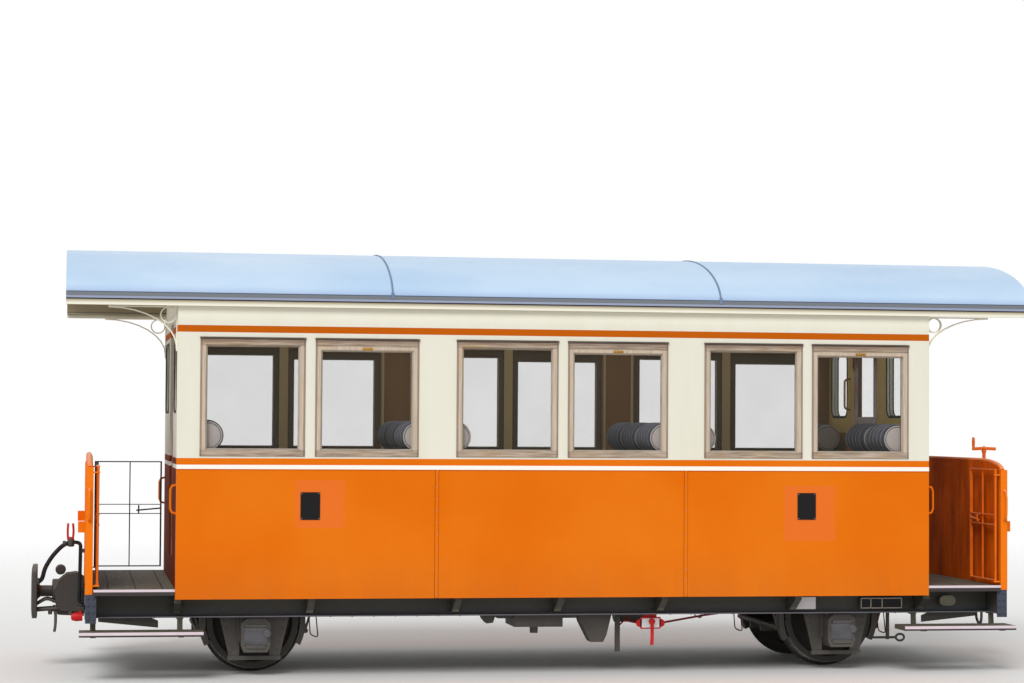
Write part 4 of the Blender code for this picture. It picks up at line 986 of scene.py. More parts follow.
def piece(name: str, shape: Shape, finish: Finish, *, body: str = "frame", bevel: float = 0.0,
          sharp: float = 35.0, replaces: Sequence[str] = ()) -> bpy.types.Object:
    """Make an object from a shape, with its finish and body.

    Args:
        name: The piece's name.
        shape: Its closed shape.
        finish: Its finish.
        body: The CAD body that it rides on.
        bevel: Width of the rounding of its edges.
        sharp: Edges above this angle in degrees stay sharp.
        replaces: CAD nodes that it stands for.

    Returns:
        The object.
    """
    mesh = shape.mesh(name)
    work = bmesh.new()
    work.from_mesh(mesh)
    bmesh.ops.recalc_face_normals(work, faces=work.faces)
    work.to_mesh(mesh)
    work.free()
    mesh.shade_smooth()
    mesh.set_sharp_from_angle(angle=math.radians(sharp))
    mesh.materials.append(finish.material())
    made = linked(name, mesh)
    if bevel:
        edge = made.modifiers.new("Bevel", "BEVEL")
        edge.width = bevel
        edge.segments = 2
        edge.limit_method = "ANGLE"
        edge.angle_limit = math.radians(sharp)
    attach(made, body)
    if replaces:
        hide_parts(*replaces)
    log.info("%s: %d faces on %s", name, len(mesh.polygons), body)
    return made


# Sub-assemblies


@dataclass
class Studio:
    """Camera, floor and light.

    The camera stands where the photographer stood, with the same turn, pitch and roll.
    """

    focal: float = 2492.634
    image_width: float = 1024.0
    sensor: float = 36.0
    yaw: float = 9.90668
    pitch: float = 1.88035
    roll: float = 0.37259
    place: Point = (-3.579, -19.486, 1.887)
    sun_strength: float = 1.95
    sky_strength: float = 0.55
    saloon_power: float = 14.0
    half_floor: float = 60.0

    def camera(self) -> None:
        """Place the camera: forward by yaw and pitch, then rolled about its own axis."""
        yaw, pitch, roll = (math.radians(a) for a in (self.yaw, self.pitch, self.roll))
        right = Vector((math.cos(yaw), -math.sin(yaw), 0))
        ahead = Vector((math.sin(yaw), math.cos(yaw), 0))
        up = Vector((0, 0, 1))
        forward = ahead * math.cos(pitch) + up * math.sin(pitch)
        above = up * math.cos(pitch) - ahead * math.sin(pitch)
        side = right * math.cos(roll) + above * math.sin(roll)
        top = above * math.cos(roll) - right * math.sin(roll)
        data = bpy.data.cameras.new("camera")
        data.sensor_width = self.sensor
        data.sensor_fit = "HORIZONTAL"
        data.lens = self.focal / self.image_width * self.sensor
        data.clip_end = 200
        made = linked("camera", data)
        turn = Matrix((side, top, -forward)).transposed()
        made.matrix_world = Matrix.Translation(self.place) @ turn.to_4x4()
        bpy.context.scene.camera = made

    def floor(self) -> None:
        """A pale floor at the lowest point of the wheels."""
        half = self.half_floor
        shape = Shape(np.array([(-half, -half, 0), (half, -half, 0), (half, half, 0), (-half, half, 0)]),
                      [np.array([[0, 1, 2, 3]])])
        mesh = shape.mesh("studio_floor")
        mesh.materials.append(FLOOR_PALE.material())
        linked("studio_floor", mesh)

    def lamps(self) -> None:
        """A broad soft sun from the camera's left and above, and a weak lamp under the ceiling."""
        sun = bpy.data.lights.new("key", "SUN")
        sun.energy = self.sun_strength
        sun.angle = math.radians(28)
        key = linked("key", sun)
        key.rotation_euler = Vector((0.32, 0.72, -0.72)).to_track_quat("-Z", "Y").to_euler()
        inside = bpy.data.lights.new("saloon", "AREA")
        inside.shape = "RECTANGLE"
        inside.size, inside.size_y = 4.6, 0.9
        inside.energy = self.saloon_power
        glow = linked("saloon", inside)
        glow.location = (0, 0, RAIL + 2.980)

    def sky(self) -> None:
        """An even white world: weak as light, and at full strength where it is seen or mirrored."""
        world = bpy.data.worlds.new("studio")
        world.use_nodes = True
        tree = world.node_tree
        rays = tree.nodes.new("ShaderNodeLightPath")
        seen = Wire(tree, rays.outputs["Is Camera Ray"])
        seen = (seen + Wire(tree, rays.outputs["Is Glossy Ray"])
                + Wire(tree, rays.outputs["Is Transmission Ray"])).clamped()
        strength = self.sky_strength + seen * (1 - self.sky_strength)
        background = tree.nodes["Background"]
        background.inputs["Color"].default_value = (1, 1, 1, 1)
        tree.links.new(strength.socket, background.inputs["Strength"])
        bpy.context.scene.world = world
        bpy.context.scene.view_settings.view_transform = "Standard"

    def build(self) -> None:
        """Camera, floor, lamps and sky."""
        self.camera()
        self.floor()
        self.lamps()
        self.sky()


@dataclass
class RoofShell:
    """The arched roof with its drip edge and the two standing seams across it."""

    half_length: float = 3.660
    half_width: float = 1.265
    eave_low: float = RAIL + 2.698
    eave_top: float = RAIL + 2.795
    rise: float = 0.369
    thickness: float = 0.050
    seams: tuple[float, ...] = (-1.290, 1.200)

    def arch(self, half: float, foot: float, rise: float, count: int) -> Array:
        """The arch: across = -cos a, height = (1 - across^1.9)^(1/1.7), for a from 0 to pi."""
        across = -np.cos(np.linspace(0, np.pi, count))
        height = (1 - np.abs(across) ** 1.9).clip(0) ** (1 / 1.7)
        return np.stack([across * half, foot + rise * height], axis=-1)

    def shell(self) -> Shape:
        """The arch above and the ceiling below as one outline, carried along the coach."""
        half, lip, seat = self.half_width, HALF_WIDTH + 0.0003, WALL_TOP + 0.0003
        outer = self.arch(half, self.eave_top, self.rise, 97)
        crown = self.eave_top + self.rise - self.thickness
        ceiling = self.arch(WALL_INNER, WALL_TOP, crown - WALL_TOP, 49)[::-1] + (0, 0.0003)
        groove_low, groove_high = RAIL + 2.731, RAIL + 2.746
        right = [(half + 0.004, self.eave_top - 0.008), (half + 0.004, groove_high),
                 (half - 0.004, groove_high), (half - 0.004, groove_low), (half, groove_low),
                 (half, self.eave_low), (lip, self.eave_low), (lip, seat)]
        left = [(-y, z) for y, z in reversed(right)]
        return prism(np.concatenate([outer, right, ceiling, left]), "x", -self.half_length, self.half_length)

    def seam(self, x: float) -> Shape:
        """A flat half-round welt that follows the arch at one place along the coach."""
        path = set_at(self.arch(self.half_width, self.eave_top, self.rise, 65), "x", x)
        profile = np.array([(-0.002, -0.008), (0.005, -0.006), (0.0078, 0), (0.005, 0.006), (-0.002, 0.008)])
        made = carried(profile, path)
        mirrored = carried(profile * (-1, 1), path)
        outward = made.points[:, 2].max() > mirrored.points[:, 2].max()
        return made if outward else mirrored

    def build(self) -> None:
        """The shell stands for the CAD roof; the welts lie on it."""
        piece("roof_shell", self.shell(), ROOF, sharp=28, replaces=["roof"])
        knobs = [block((x - 0.010, x + 0.012), (side * 1.262, side * 1.2735), (RAIL + 2.768, RAIL + 2.812))
                 for x in self.seams for _, side in SIDES]
        piece("roof_welts", Shape.joined([*[self.seam(x) for x in self.seams], *knobs]), WELT_SHADED)


@dataclass
class SideFittings:
    """What is fixed on the outside of the side walls: blank plates and screws."""

    plate_low: float = RAIL + 1.143
    plate_high: float = RAIL + 1.345
    plate_half: float = 0.072
    plates: tuple[float, ...] = (-1.881, 1.886)
    strip_x: float = 0.945

    def blank_plates(self) -> Shape:
        """Blank black plates with round corners."""
        return Shape.joined([prism(rounded((x - self.plate_half, self.plate_low),
                                           (x + self.plate_half, self.plate_high), 0.008),
                                   "y", HALF_WIDTH, HALF_WIDTH + 0.004) for x in self.plates])

    def screws(self) -> Shape:
        """Screw heads down the cover strips and beside each plate's corners."""
        down = pairings((-self.strip_x, self.strip_x), np.linspace(RAIL + 0.60, WAIST - 0.04, 11))
        corner_x = [x + way * (self.plate_half - 0.010) for x in self.plates for way in (-1, 1)]
        corners = pairings(corner_x, (self.plate_low + 0.010, self.plate_high - 0.010))
        return Shape.joined([bolt_heads(0.0035, "y", 1, down, HALF_WIDTH + 0.005),
                             bolt_heads(0.0035, "y", 1, corners, HALF_WIDTH + 0.004)])

    def build(self) -> None:
        """Both sides, shaped for the far one and flipped to the near one."""
        for name, side in SIDES:
            piece(f"class_plates_{name}", self.blank_plates().flipped(side=side), BLACK_PLATE,
                  bevel=0.001)
            piece(f"side_screws_{name}", self.screws().flipped(side=side), STEEL)


@dataclass
class WindowFittings:
    """Beads round the panes, drip mouldings above, and the pulls of the drop sashes."""

    stile: float = 0.046
    bottom_rail: float = 0.050
    top_rail: float = 0.056
    sash_rail: float = 0.086
    proud: float = 0.009

    def opening(self, number: int, middle: float, grow: float) -> Array:
        """Corners of the pane's outline as (x, z), grown outwards by a width."""
        top = self.top_rail if number % 2 else self.sash_rail
        return rounded((middle - WINDOW_WIDTH / 2 + self.stile - grow, WINDOW_LOW + self.bottom_rail - grow),
                       (middle + WINDOW_WIDTH / 2 - self.stile + grow, WINDOW_HIGH - top + grow), 0.006, 2)

    def bead(self, number: int, middle: float) -> Shape:
        """A putty bead carried round the pane on its outer face."""
        outline = self.opening(number, middle, -0.003)
        path = set_at(outline, "y", PANE_OUT + 0.005)
        return carried(circle(0.0045, 8), path, closed=True)

    def drip(self, middle: float) -> Shape:
        """A slim moulding along the top of the frame, sloping outwards."""
        section = np.array([(-0.004, 0.008), (0.006, -0.001), (0.006, -0.007), (-0.004, -0.007)])
        outline = section + (HALF_WIDTH + self.proud, WINDOW_HIGH)
        half = WINDOW_WIDTH / 2 + 0.004
        return prism(outline, "x", middle - half, middle + half)

    def pull(self, middle: float) -> Shape:
        """A bowed finger pull on a small back plate, in the middle of a sash's top rail."""
        face, z = HALF_WIDTH + self.proud, RAIL + 2.398
        bow = [(middle - 0.030, face - 0.002, z), (middle - 0.028, face + 0.016, z),
               (middle + 0.028, face + 0.016, z), (middle + 0.030, face - 0.002, z)]
        plate = prism(rounded((middle - 0.040, z - 0.011), (middle + 0.040, z + 0.011), 0.008), "y",
                      face - 0.001, face + 0.002)
        return Shape.joined([tube(bow, 0.0045, 0.010, 10), plate])

    def split_rail(self, middle: float) -> Shape:
        """The raised lower edge of a drop sash's two-part top rail."""
        face = HALF_WIDTH + self.proud
        return block((middle - WINDOW_WIDTH / 2 + 0.012, middle + WINDOW_WIDTH / 2 - 0.012),
                     (face - 0.004, face + 0.004), (RAIL + 2.4235, RAIL + 2.4285))

    def build(self) -> None:
        """One piece of each kind for a side, shaped for the far one and flipped to the near one."""
        numbered = list(enumerate(WINDOW_MIDDLES, 1))
        drops = [middle for number, middle in numbered if number % 2 == 0]
        kinds = (("pane_beads", [self.bead(number, middle) for number, middle in numbered], PUTTY, 0.0),
                 ("window_drips", [self.drip(middle) for middle in WINDOW_MIDDLES], FRAME_WOOD, 0.001),
                 ("sash_rails", [self.split_rail(middle) for middle in drops], FRAME_WOOD, 0.001),
                 ("sash_pulls", [self.pull(middle) for middle in drops], BRASS, 0.0))
        for name, side in SIDES:
            for label, shapes, finish, bevel in kinds:
                piece(f"{label}_{name}", Shape.joined(shapes).flipped(side=side), finish,
                      bevel=bevel)


class Cushion(Enum):
    """Which cushion of a bench it is."""

    SEAT = "seat"
    BACK = "back"


@dataclass(frozen=True)
class Bench:
    """Where a bench stands, the ways that it faces, its ends across the coach and its seats in a row."""

    name: str
    x: float
    ways: tuple[int, ...]
    ends: tuple[float, float]
    seats: int
    half_pitch: float = 0.150

    def back(self, way: int) -> float:
        """Where the back that faces one way stands; the two of a double bench stand apart."""
        return self.x + way * (self.half_pitch if len(self.ways) == 2 else 0.0)

    def spans(self) -> list[tuple[float, tuple[float, float]]]:
        """For each seat, the way it faces and its two ends across the coach."""
        cells = np.linspace(*self.ends, self.seats + 1).tolist()
        return [(way, span) for way in self.ways for span in zip(cells, cells[1:])]


@dataclass(frozen=True)
class Padding:
    """Cushions that are blown up by cloth simulation, and the cords sewn round them."""

    voxel: float = 0.009
    quick_voxel: float = 0.012
    corner: float = 0.035
    rounding: float = 0.016
    pressure: float = 4.0
    frames: int = 20
    most_move: float = 0.012
    seam_points: int = 96

    def swell(self, size: Point) -> Shape:
        """A cushion round the origin.

        A rounded block is remeshed and blown up. Each point may move by most_move, times
        the share h = (z + half height) / (0.6 half height), held from 0 to 1, so that the base
        stays where it rests.

        Args:
            size: Width along X, Y and Z before it swells.

        Returns:
            The cushion.
        """
        half = np.array(size) / 2
        start = prism(rounded((-half[0], -half[1]), (half[0], half[1]), self.corner), "z", -half[2], half[2])
        made = linked("pad", start.mesh("pad"))
        edge = made.modifiers.new("Bevel", "BEVEL")
        edge.width = self.rounding
        edge.segments = 3
        net = made.modifiers.new("Remesh", "REMESH")
        net.mode = "VOXEL"
        net.voxel_size = self.voxel
        rest = self.baked(made)
        made.modifiers.clear()
        made.data = rest
        before, move = self.places(rest), self.places(self.blown(made)) - self.places(rest)
        length = np.linalg.norm(move, axis=1, keepdims=True)
        share = np.clip((before[:, 2:] + half[2]) / (half[2] * 0.6), 0, 1)
        before += move / np.maximum(length, 1e-9) * np.minimum(length, self.most_move) * share
        rest.vertices.foreach_set("co", before.ravel())
        corners = np.empty(len(rest.loops), np.int32)
        rest.loops.foreach_get("vertex_index", corners)
        bpy.data.objects.remove(made, do_unlink=True)
        return Shape(self.places(rest), [corners.reshape(-1, 4)])

    def blown(self, made: bpy.types.Object) -> bpy.types.Mesh:
        """The object's mesh at the last frame of a simulation with pressure and without gravity."""
        cloth = made.modifiers.new("Cloth", "CLOTH")
        cloth.settings.use_pressure = True
        cloth.settings.uniform_pressure_force = self.pressure
        cloth.settings.effector_weights.gravity = 0
        cloth.point_cache.frame_start = 1
        cloth.point_cache.frame_end = self.frames
        for frame in range(1, self.frames + 1):
            bpy.context.scene.frame_set(frame)
        result = self.baked(made)
        bpy.context.scene.frame_set(1)
        return result

    def seam(self, cushion: Shape) -> Shape:
        """A sewn cord round a cushion's sides.

        The points within 5 mm of its middle height are put in order of their angle round the
        middle, read off at even angles, and joined by a cord.
        """
        band = cushion.points[np.abs(cushion.points[:, 2]) < 0.005]
        angle = np.arctan2(band[:, 1], band[:, 0])
        order = np.argsort(angle)
        even = np.linspace(-np.pi, np.pi, self.seam_points, endpoint=False)
        x, y = (np.interp(even, angle[order], band[order, k], period=2 * np.pi) for k in (0, 1))
        return carried(circle(0.0035, 6), np.column_stack([x, y, np.zeros(self.seam_points)]), closed=True)

    @staticmethod
    def baked(made: bpy.types.Object) -> bpy.types.Mesh:
        """The object's mesh with its modifiers applied."""
        graph = bpy.context.evaluated_depsgraph_get()
        return bpy.data.meshes.new_from_object(made.evaluated_get(graph))

    @staticmethod
    def places(mesh: bpy.types.Mesh) -> Array:
        """The places of a mesh's points."""
        flat = np.empty(len(mesh.vertices) * 3)
        mesh.vertices.foreach_get("co", flat)
        return flat.reshape(-1, 3)


@dataclass
class Saloon:
    """Benches with sprung cushions and round bolsters, wall battens and door furniture."""

    seat_top: float = FLOOR_TOP + 0.430
    seat_depth: float = 0.450
    back_proud: float = 0.060
    pad_width: float = 0.500
    swollen_width: float = 0.520
    bolster: float = 0.119
    bolster_z: float = RAIL + 1.755
    wall: float = 1.162

    def benches(self) -> tuple[Bench, ...]:
        """Two double benches in the middle, and single ones on each side of the two doorways."""
        wall = self.wall
        return (Bench("middle_left", -0.938, (-1, 1), (-wall, 0.423), 3),
                Bench("middle_right", 0.938, (-1, 1), (-wall, 0.423), 3),
                Bench("left_near", -2.626, (1,), (-wall, -0.637), 1),
                Bench("left_far", -2.626, (1,), (0.167, wall), 2),
                Bench("right_near", 2.626, (-1,), (-wall, -0.167), 2),
                Bench("right_far", 2.626, (-1,), (0.637, wall), 1))

    def carcass(self, bench: Bench) -> Shape:
        """Plinth, seat board and back board of a bench."""
        shapes = []
        foot, board = FLOOR_TOP + 0.001, self.seat_top - 0.130
        for way in bench.ways:
            back = bench.back(way)
            front = back + way * (self.back_proud + self.seat_depth)
            inner = back - way * (0.145 if len(bench.ways) == 2 else 0.165)
            shapes += [block((back, front - way * 0.120), bench.ends, (foot, board)),
                       block((back, front - way * 0.004), bench.ends, (board, board + 0.025)),
                       block((inner, back + way * 0.020), bench.ends, (foot, self.bolster_z - 0.112))]
        return Shape.joined(shapes)

    def roll(self, x: float, y: tuple[float, float]) -> Shape:
        """A bolster: radius falls from the middle as the 8th power of the place along it.

        Its ends are crowned discs with a rounded shoulder.
        """
        t = np.linspace(-1, 1, 41)
        middle, half = (y[0] + y[1]) / 2, (y[1] - y[0]) / 2 - 0.002
        ripple = 0.0005 * np.cos(t * 18)
        radius = self.bolster * (1 - 0.16 * np.abs(t) ** 8) - 0.002 + ripple * (1 - t ** 2)
        body = np.stack([middle + half * 0.965 * t, radius], axis=-1)
        first = np.array([(middle - half, 0.02), (middle - half, 0.060), (middle - half * 0.985, 0.088)])
        last = first[::-1] * (-1, 1) + (2 * middle, 0)
        return turned(np.concatenate([first, body, last]), "y", (x, 0, self.bolster_z), 40)

    def discs(self, x: float, y: tuple[float, float]) -> Shape:
        """The pale round ends of a bolster: flat lenses over its crowned ends."""
        middle, half = (y[0] + y[1]) / 2, (y[1] - y[0]) / 2 - 0.002
        shapes = []
        for way in (-1, 1):
            pairs = [(0.930, 0.094), (0.990, 0.089), (1.000, 0.062), (1.001, 0.020), (1.001, 0.002)]
            profile = np.array([(middle + way * half * share, radius) for share, radius in pairs])
            shapes.append(turned(profile, "y", (x, 0, self.bolster_z), 40))
        return Shape.joined(shapes)

    def piping(self, x: float, y: tuple[float, float]) -> Shape:
        """Two cords round the ends of a bolster."""
        half = (y[1] - y[0]) / 2 - 0.002
        middle = (y[0] + y[1]) / 2
        profile = circle(0.0055, 8)
        rings = []
        for way in (-1, 1):
            pairs = profile + (middle + way * half * 0.972, self.bolster * 0.835)
            rings.append(ring_turned(pairs, "y", (x, 0, self.bolster_z), 40))
        return Shape.joined(rings)

    def placed(self, shape: Shape, kind: Cushion, bench: Bench, way: int, span: tuple[float, float]) -> Shape:
        """A copy of a cushion or of its cord, stretched to its seat's width and put in its place.

        A back cushion is stood up first: its X and Z change places.

        Args:
            shape: The cushion or cord round the origin.
            kind: Which cushion it is.
            bench: Its bench.
            way: The way that its seat faces.
            span: The seat's ends across the coach.

        Returns:
            The copy.
        """
        low, high = span
        back, middle = bench.back(way), (low + high) / 2
        points = shape.points * (1, (high - low - 0.008) / self.swollen_width, 1)
        if kind is Cushion.SEAT:
            x, z = back + way * (self.back_proud + self.seat_depth / 2 + 0.012), self.seat_top - 0.060
        else:
            points = points[:, [2, 1, 0]] * (way, 1, 1)
            x, z = back + way * 0.040, (self.seat_top + self.bolster_z) / 2 - 0.035
        return Shape(points + (x, middle, z), shape.faces)

    def cushions(self, bench: Bench, pads: dict[Cushion, tuple[Shape, Shape]]) -> None:
        """The cushions of a bench, copies of the two that were simulated, and their sewn cords.

        Args:
            bench: The bench.
            pads: The seat's and the back's cushion, each with its cord.
        """
        cords = []
        for kind, (pad, cord) in pads.items():
            copies = [self.placed(pad, kind, bench, *place) for place in bench.spans()]
            made = piece(f"{kind.value}_cushions_{bench.name}", Shape.joined(copies), CLOTH,
                         sharp=180)
            cords += [self.placed(cord, kind, bench, *place) for place in bench.spans()]
        piece(f"cushion_seams_{bench.name}", Shape.joined(cords), CLOTH_PLAIN)

    def battens(self) -> Shape:
        """Thin upright trims beside the wide wall panels, and a ledge under the windows."""
        inner, reach, low = WALL_INNER - 0.0005, HALF_BODY - WALL - 0.003, WINDOW_LOW - 0.020
        shapes = [block((x - 0.010, x + 0.010), (inner, inner - 0.006), (low, WINDOW_HIGH + 0.020))
                  for x in (-1.062, -0.826, 0.826, 1.062)]
        shapes.append(block((-reach, reach), (inner, inner - 0.005), (low - 0.030, low - 0.002)))
        return Shape.joined([shape.flipped(side=side) for shape in shapes for _, side in SIDES])

    def bow_handles(self) -> Shape:
        """An upright bowed handle beside each doorway, on the inner face of the end wall."""
        face, y = HALF_BODY - WALL, 0.575
        handle = tube([(face, y, RAIL + 1.990), (face - 0.050, y, RAIL + 2.000),
                       (face - 0.050, y, RAIL + 2.240), (face, y, RAIL + 2.250)], 0.009, 0.03)
        return Shape.joined([handle.flipped(end, end) for _, end in ENDS])

    def gaskets(self) -> Shape:
        """Rubber strips round the panes of the end walls, inside and out."""
        strips = []
        for low, high in ((-1.090, -0.375), (0.660, 1.090)):
            outline = rounded((low, PANE_LOW), (high, PANE_HIGH), 0.07)
            for x in (HALF_BODY - WALL - 0.0005, HALF_BODY + 0.0005):
                strips.append(carried(circle(0.010, 8) * (1, 0.45), set_at(outline, "x", x), closed=True))
        return Shape.joined([strip.flipped(end, end) for _, end in ENDS for strip in strips])

    def build(self) -> None:
        """All six benches and the fittings."""
        padding = Padding()
        sizes = {Cushion.SEAT: (self.seat_depth - 0.040, self.pad_width, 0.085),
                 Cushion.BACK: (0.300, self.pad_width, 0.052)}
        swollen = {kind: padding.swell(size) for kind, size in sizes.items()}
        pads = {kind: (pad, padding.seam(pad)) for kind, pad in swollen.items()}
        for bench in self.benches():
            piece(f"bench_carcass_{bench.name}", self.carcass(bench), BENCH_WOOD, bevel=0.003,
                  replaces=[f"bench_{bench.name}"])
            self.cushions(bench, pads)
            spans = [(bench.back(way), span) for way, span in bench.spans()]
            rolls = piece(f"bolsters_{bench.name}", Shape.joined([self.roll(*span) for span in spans]), CLOTH,
                          sharp=60)
            for label, maker in (("bolster_ends", self.discs), ("bolster_piping", self.piping)):
                piece(f"{label}_{bench.name}", Shape.joined([maker(*span) for span in spans]), CLOTH_PLAIN)
        piece("wall_battens", self.battens(), PALE_TRIM, bevel=0.0015)
        piece("saloon_handles", self.bow_handles(), BRASS)
        piece("pane_gaskets", self.gaskets(), RUBBER)


@dataclass
class PlatformFittings:
    """Ironwork of the open platforms: foot plates, gates and end panel bolts."""

    hinge_x: float = 3.414
    hinge_y: float = 1.1655
    gate_low: float = 0.670
    gate_high: float = 1.530
    gate_reach: float = 0.535
    rib_pitch: float = 0.31535

    def foot_plates(self) -> Shape:
        """A bolted plate at the foot of each corner post, on the end of the headstock."""
        low, face = RAIL + 0.394, 1.1805
        places = pairings((3.436, 3.478), np.linspace(low + 0.03, RAIL + 0.575, 4))
        corner = Shape.joined([block((3.418, 3.497), (face, face + 0.010), (low, RAIL + 0.604)),
                               bolt_heads(0.011, "y", 1, places, face + 0.010)])
        return Shape.joined([corner.flipped(end, side) for _, end in ENDS for _, side in SIDES])

    def panel_bolts(self) -> Shape:
        """Rows of bolt heads down the ribs of the end panels, outside."""
        pairs = pairings(np.arange(-3, 4) * self.rib_pitch, np.linspace(DECK_TOP + 0.06, RAIL + 1.44, 9))
        heads = bolt_heads(0.007, "x", 1, pairs, HALF_FRAME - 0.002)
        return Shape.joined([heads.flipped(end) for _, end in ENDS])

    def gate(self, end: int, side: int) -> Shape:
        """A gate of flat bars laid level, a round hinge rod, two uprights and a latch.

        A bar is a box whose corners are set out from the hinge: along the gate, square to
        it, and by height.
        """
        along = np.array((-end, 0, 0)) if side == FAR else np.array((0, -side, 0))
        across = np.array((-along[1], along[0], 0))
        pivot = np.array((end * self.hinge_x, side * self.hinge_y, RAIL))

        def at(run: float, out: float, z: float) -> Point:
            """A point from the hinge: along the gate, square to it, and its height above the rail."""
            return tuple((pivot + along * run + across * out + (0, 0, z)).tolist())

        def bar(run: tuple[float, float], half: float, z: tuple[float, float]) -> Shape:
            """A straight bar between two runs and two heights."""
            loop = [(run[0], z[0]), (run[1], z[0]), (run[1], z[1]), (run[0], z[1])]
            return Shape.grid(np.array([[at(a, out, b) for a, b in loop] for out in (-half, half)]))

        reach, low, high = self.gate_reach, self.gate_low, self.gate_high
        levels = ((low, low + 0.009), (1.099, 1.105), (1.174, 1.180), (high - 0.009, high))
        shapes = [bar((0.0, reach), 0.0125, level) for level in levels]
        shapes.append(bar((reach - 0.013, reach), 0.012, (low + 0.004, high - 0.004)))
        shapes.append(bar((0.272, 0.281), 0.0065, (low + 0.004, high - 0.004)))
        shapes.append(tube([at(0, 0, low), at(0, 0, high)], 0.009))
        shapes.append(bar((0.010, 0.024), 0.004, (low + 0.004, high - 0.004)))
        shapes.append(tube([at(0.330, 0.010, 1.128), at(0.528, 0.010, 1.146)], 0.006))
        shapes.append(tube([at(0.350, 0.004, 1.108), at(0.350, 0.018, 1.120), at(0.350, 0.018, 1.170)],
                           0.006, 0.008))
        facing = "y" if side == FAR else "x"
        heads = np.array([at(reach - 0.0065, 0.0, z) for z in (low + 0.03, 1.085, 1.194, high - 0.03)])
        for way in (-1, 1):
            offset = across * 0.012 * way
            sign = int(np.sign(offset[1] if side == FAR else offset[0]))
            shapes.append(bolt_head(0.005, facing, sign).scattered(heads + offset))
        return Shape.joined(shapes)

    def scroll_nuts(self) -> Shape:
        """Bolt heads where the scroll brackets are fixed to the body's corners."""
        across = WALL_INNER - 0.028
        pairs = pairings((-across, across), (RAIL + 2.392, RAIL + 2.470))
        heads = bolt_heads(0.007, "x", 1, pairs, HALF_BODY + 0.009)
        return Shape.joined([heads.flipped(end) for _, end in ENDS])

    def build(self) -> None:
        """All of the platforms' fittings."""
        piece("post_foot_plates", self.foot_plates(), POST_GREY, bevel=0.0015)
        piece("panel_bolts", self.panel_bolts(), ORANGE_IRON)
        piece("scroll_nuts", self.scroll_nuts(), CREAM_IRON)
        for end_name, end in ENDS:
            for side_name, side in SIDES:
                # The far gates take a dark copy of the orange: painted shade
                finish = ORANGE_IRON if side == NEAR else FAR_GATE_SHADED
                name = f"gate_{end_name}_{side_name}"
                piece(f"bar_{name}", self.gate(end, side), finish, body=name, replaces=[name])


@dataclass
class Handbrake:
    """The handbrake's column and crank outside the right end panel."""

    x: float = 3.552
    y: float = -0.550
    arm_z: float = RAIL + 1.680

    def build(self) -> None:
        """Column, crank arm with its eye, grip, nut and brackets, in the CAD's places."""
        x, y, z = self.x, self.y, self.arm_z
        column = turned([(FRAME_LOW + 0.020, 0.012), (FRAME_LOW + 0.022, 0.014), (z - 0.030, 0.014),
                         (z - 0.028, 0.019), (z - 0.006, 0.019)], "z", (x, y, 0), 20)
        path = [(x - 0.105, y - 0.020, z), (x - 0.060, y - 0.012, z + 0.002), (x, y, z + 0.004),
                (x + 0.105, y + 0.020, z)]
        arm = carried(rounded((-0.013, -0.006), (0.013, 0.006), 0.005, 3), smooth_path(path, 0.03))
        grip = turned([(z - 0.008, 0.008), (z + 0.004, 0.010), (z + 0.050, 0.0125), (z + 0.085, 0.011),
                       (z + 0.093, 0.006)], "z", (x - 0.095, y - 0.018, 0), 18)
        nut = turned([(z - 0.004, 0.020), (z + 0.012, 0.020), (z + 0.015, 0.012), (z + 0.022, 0.010)], "z",
                     (x, y, 0), 6)
        lugs = [block((HALF_FRAME - 0.0077, x + 0.020), (y - 0.020, y + 0.020),
                      (height - 0.011, height + 0.011))
                for height in (RAIL + 0.820, RAIL + 1.480)]
        foot = block((HALF_FRAME + 0.0003, x + 0.024), (y - 0.030, y + 0.030),
                     (FRAME_LOW + 0.006, FRAME_LOW + 0.034))
        piece("handbrake_crank", Shape.joined([column, arm, grip, nut, *lugs, foot]), ORANGE_IRON,
              bevel=0.0012, replaces=["handbrake"])


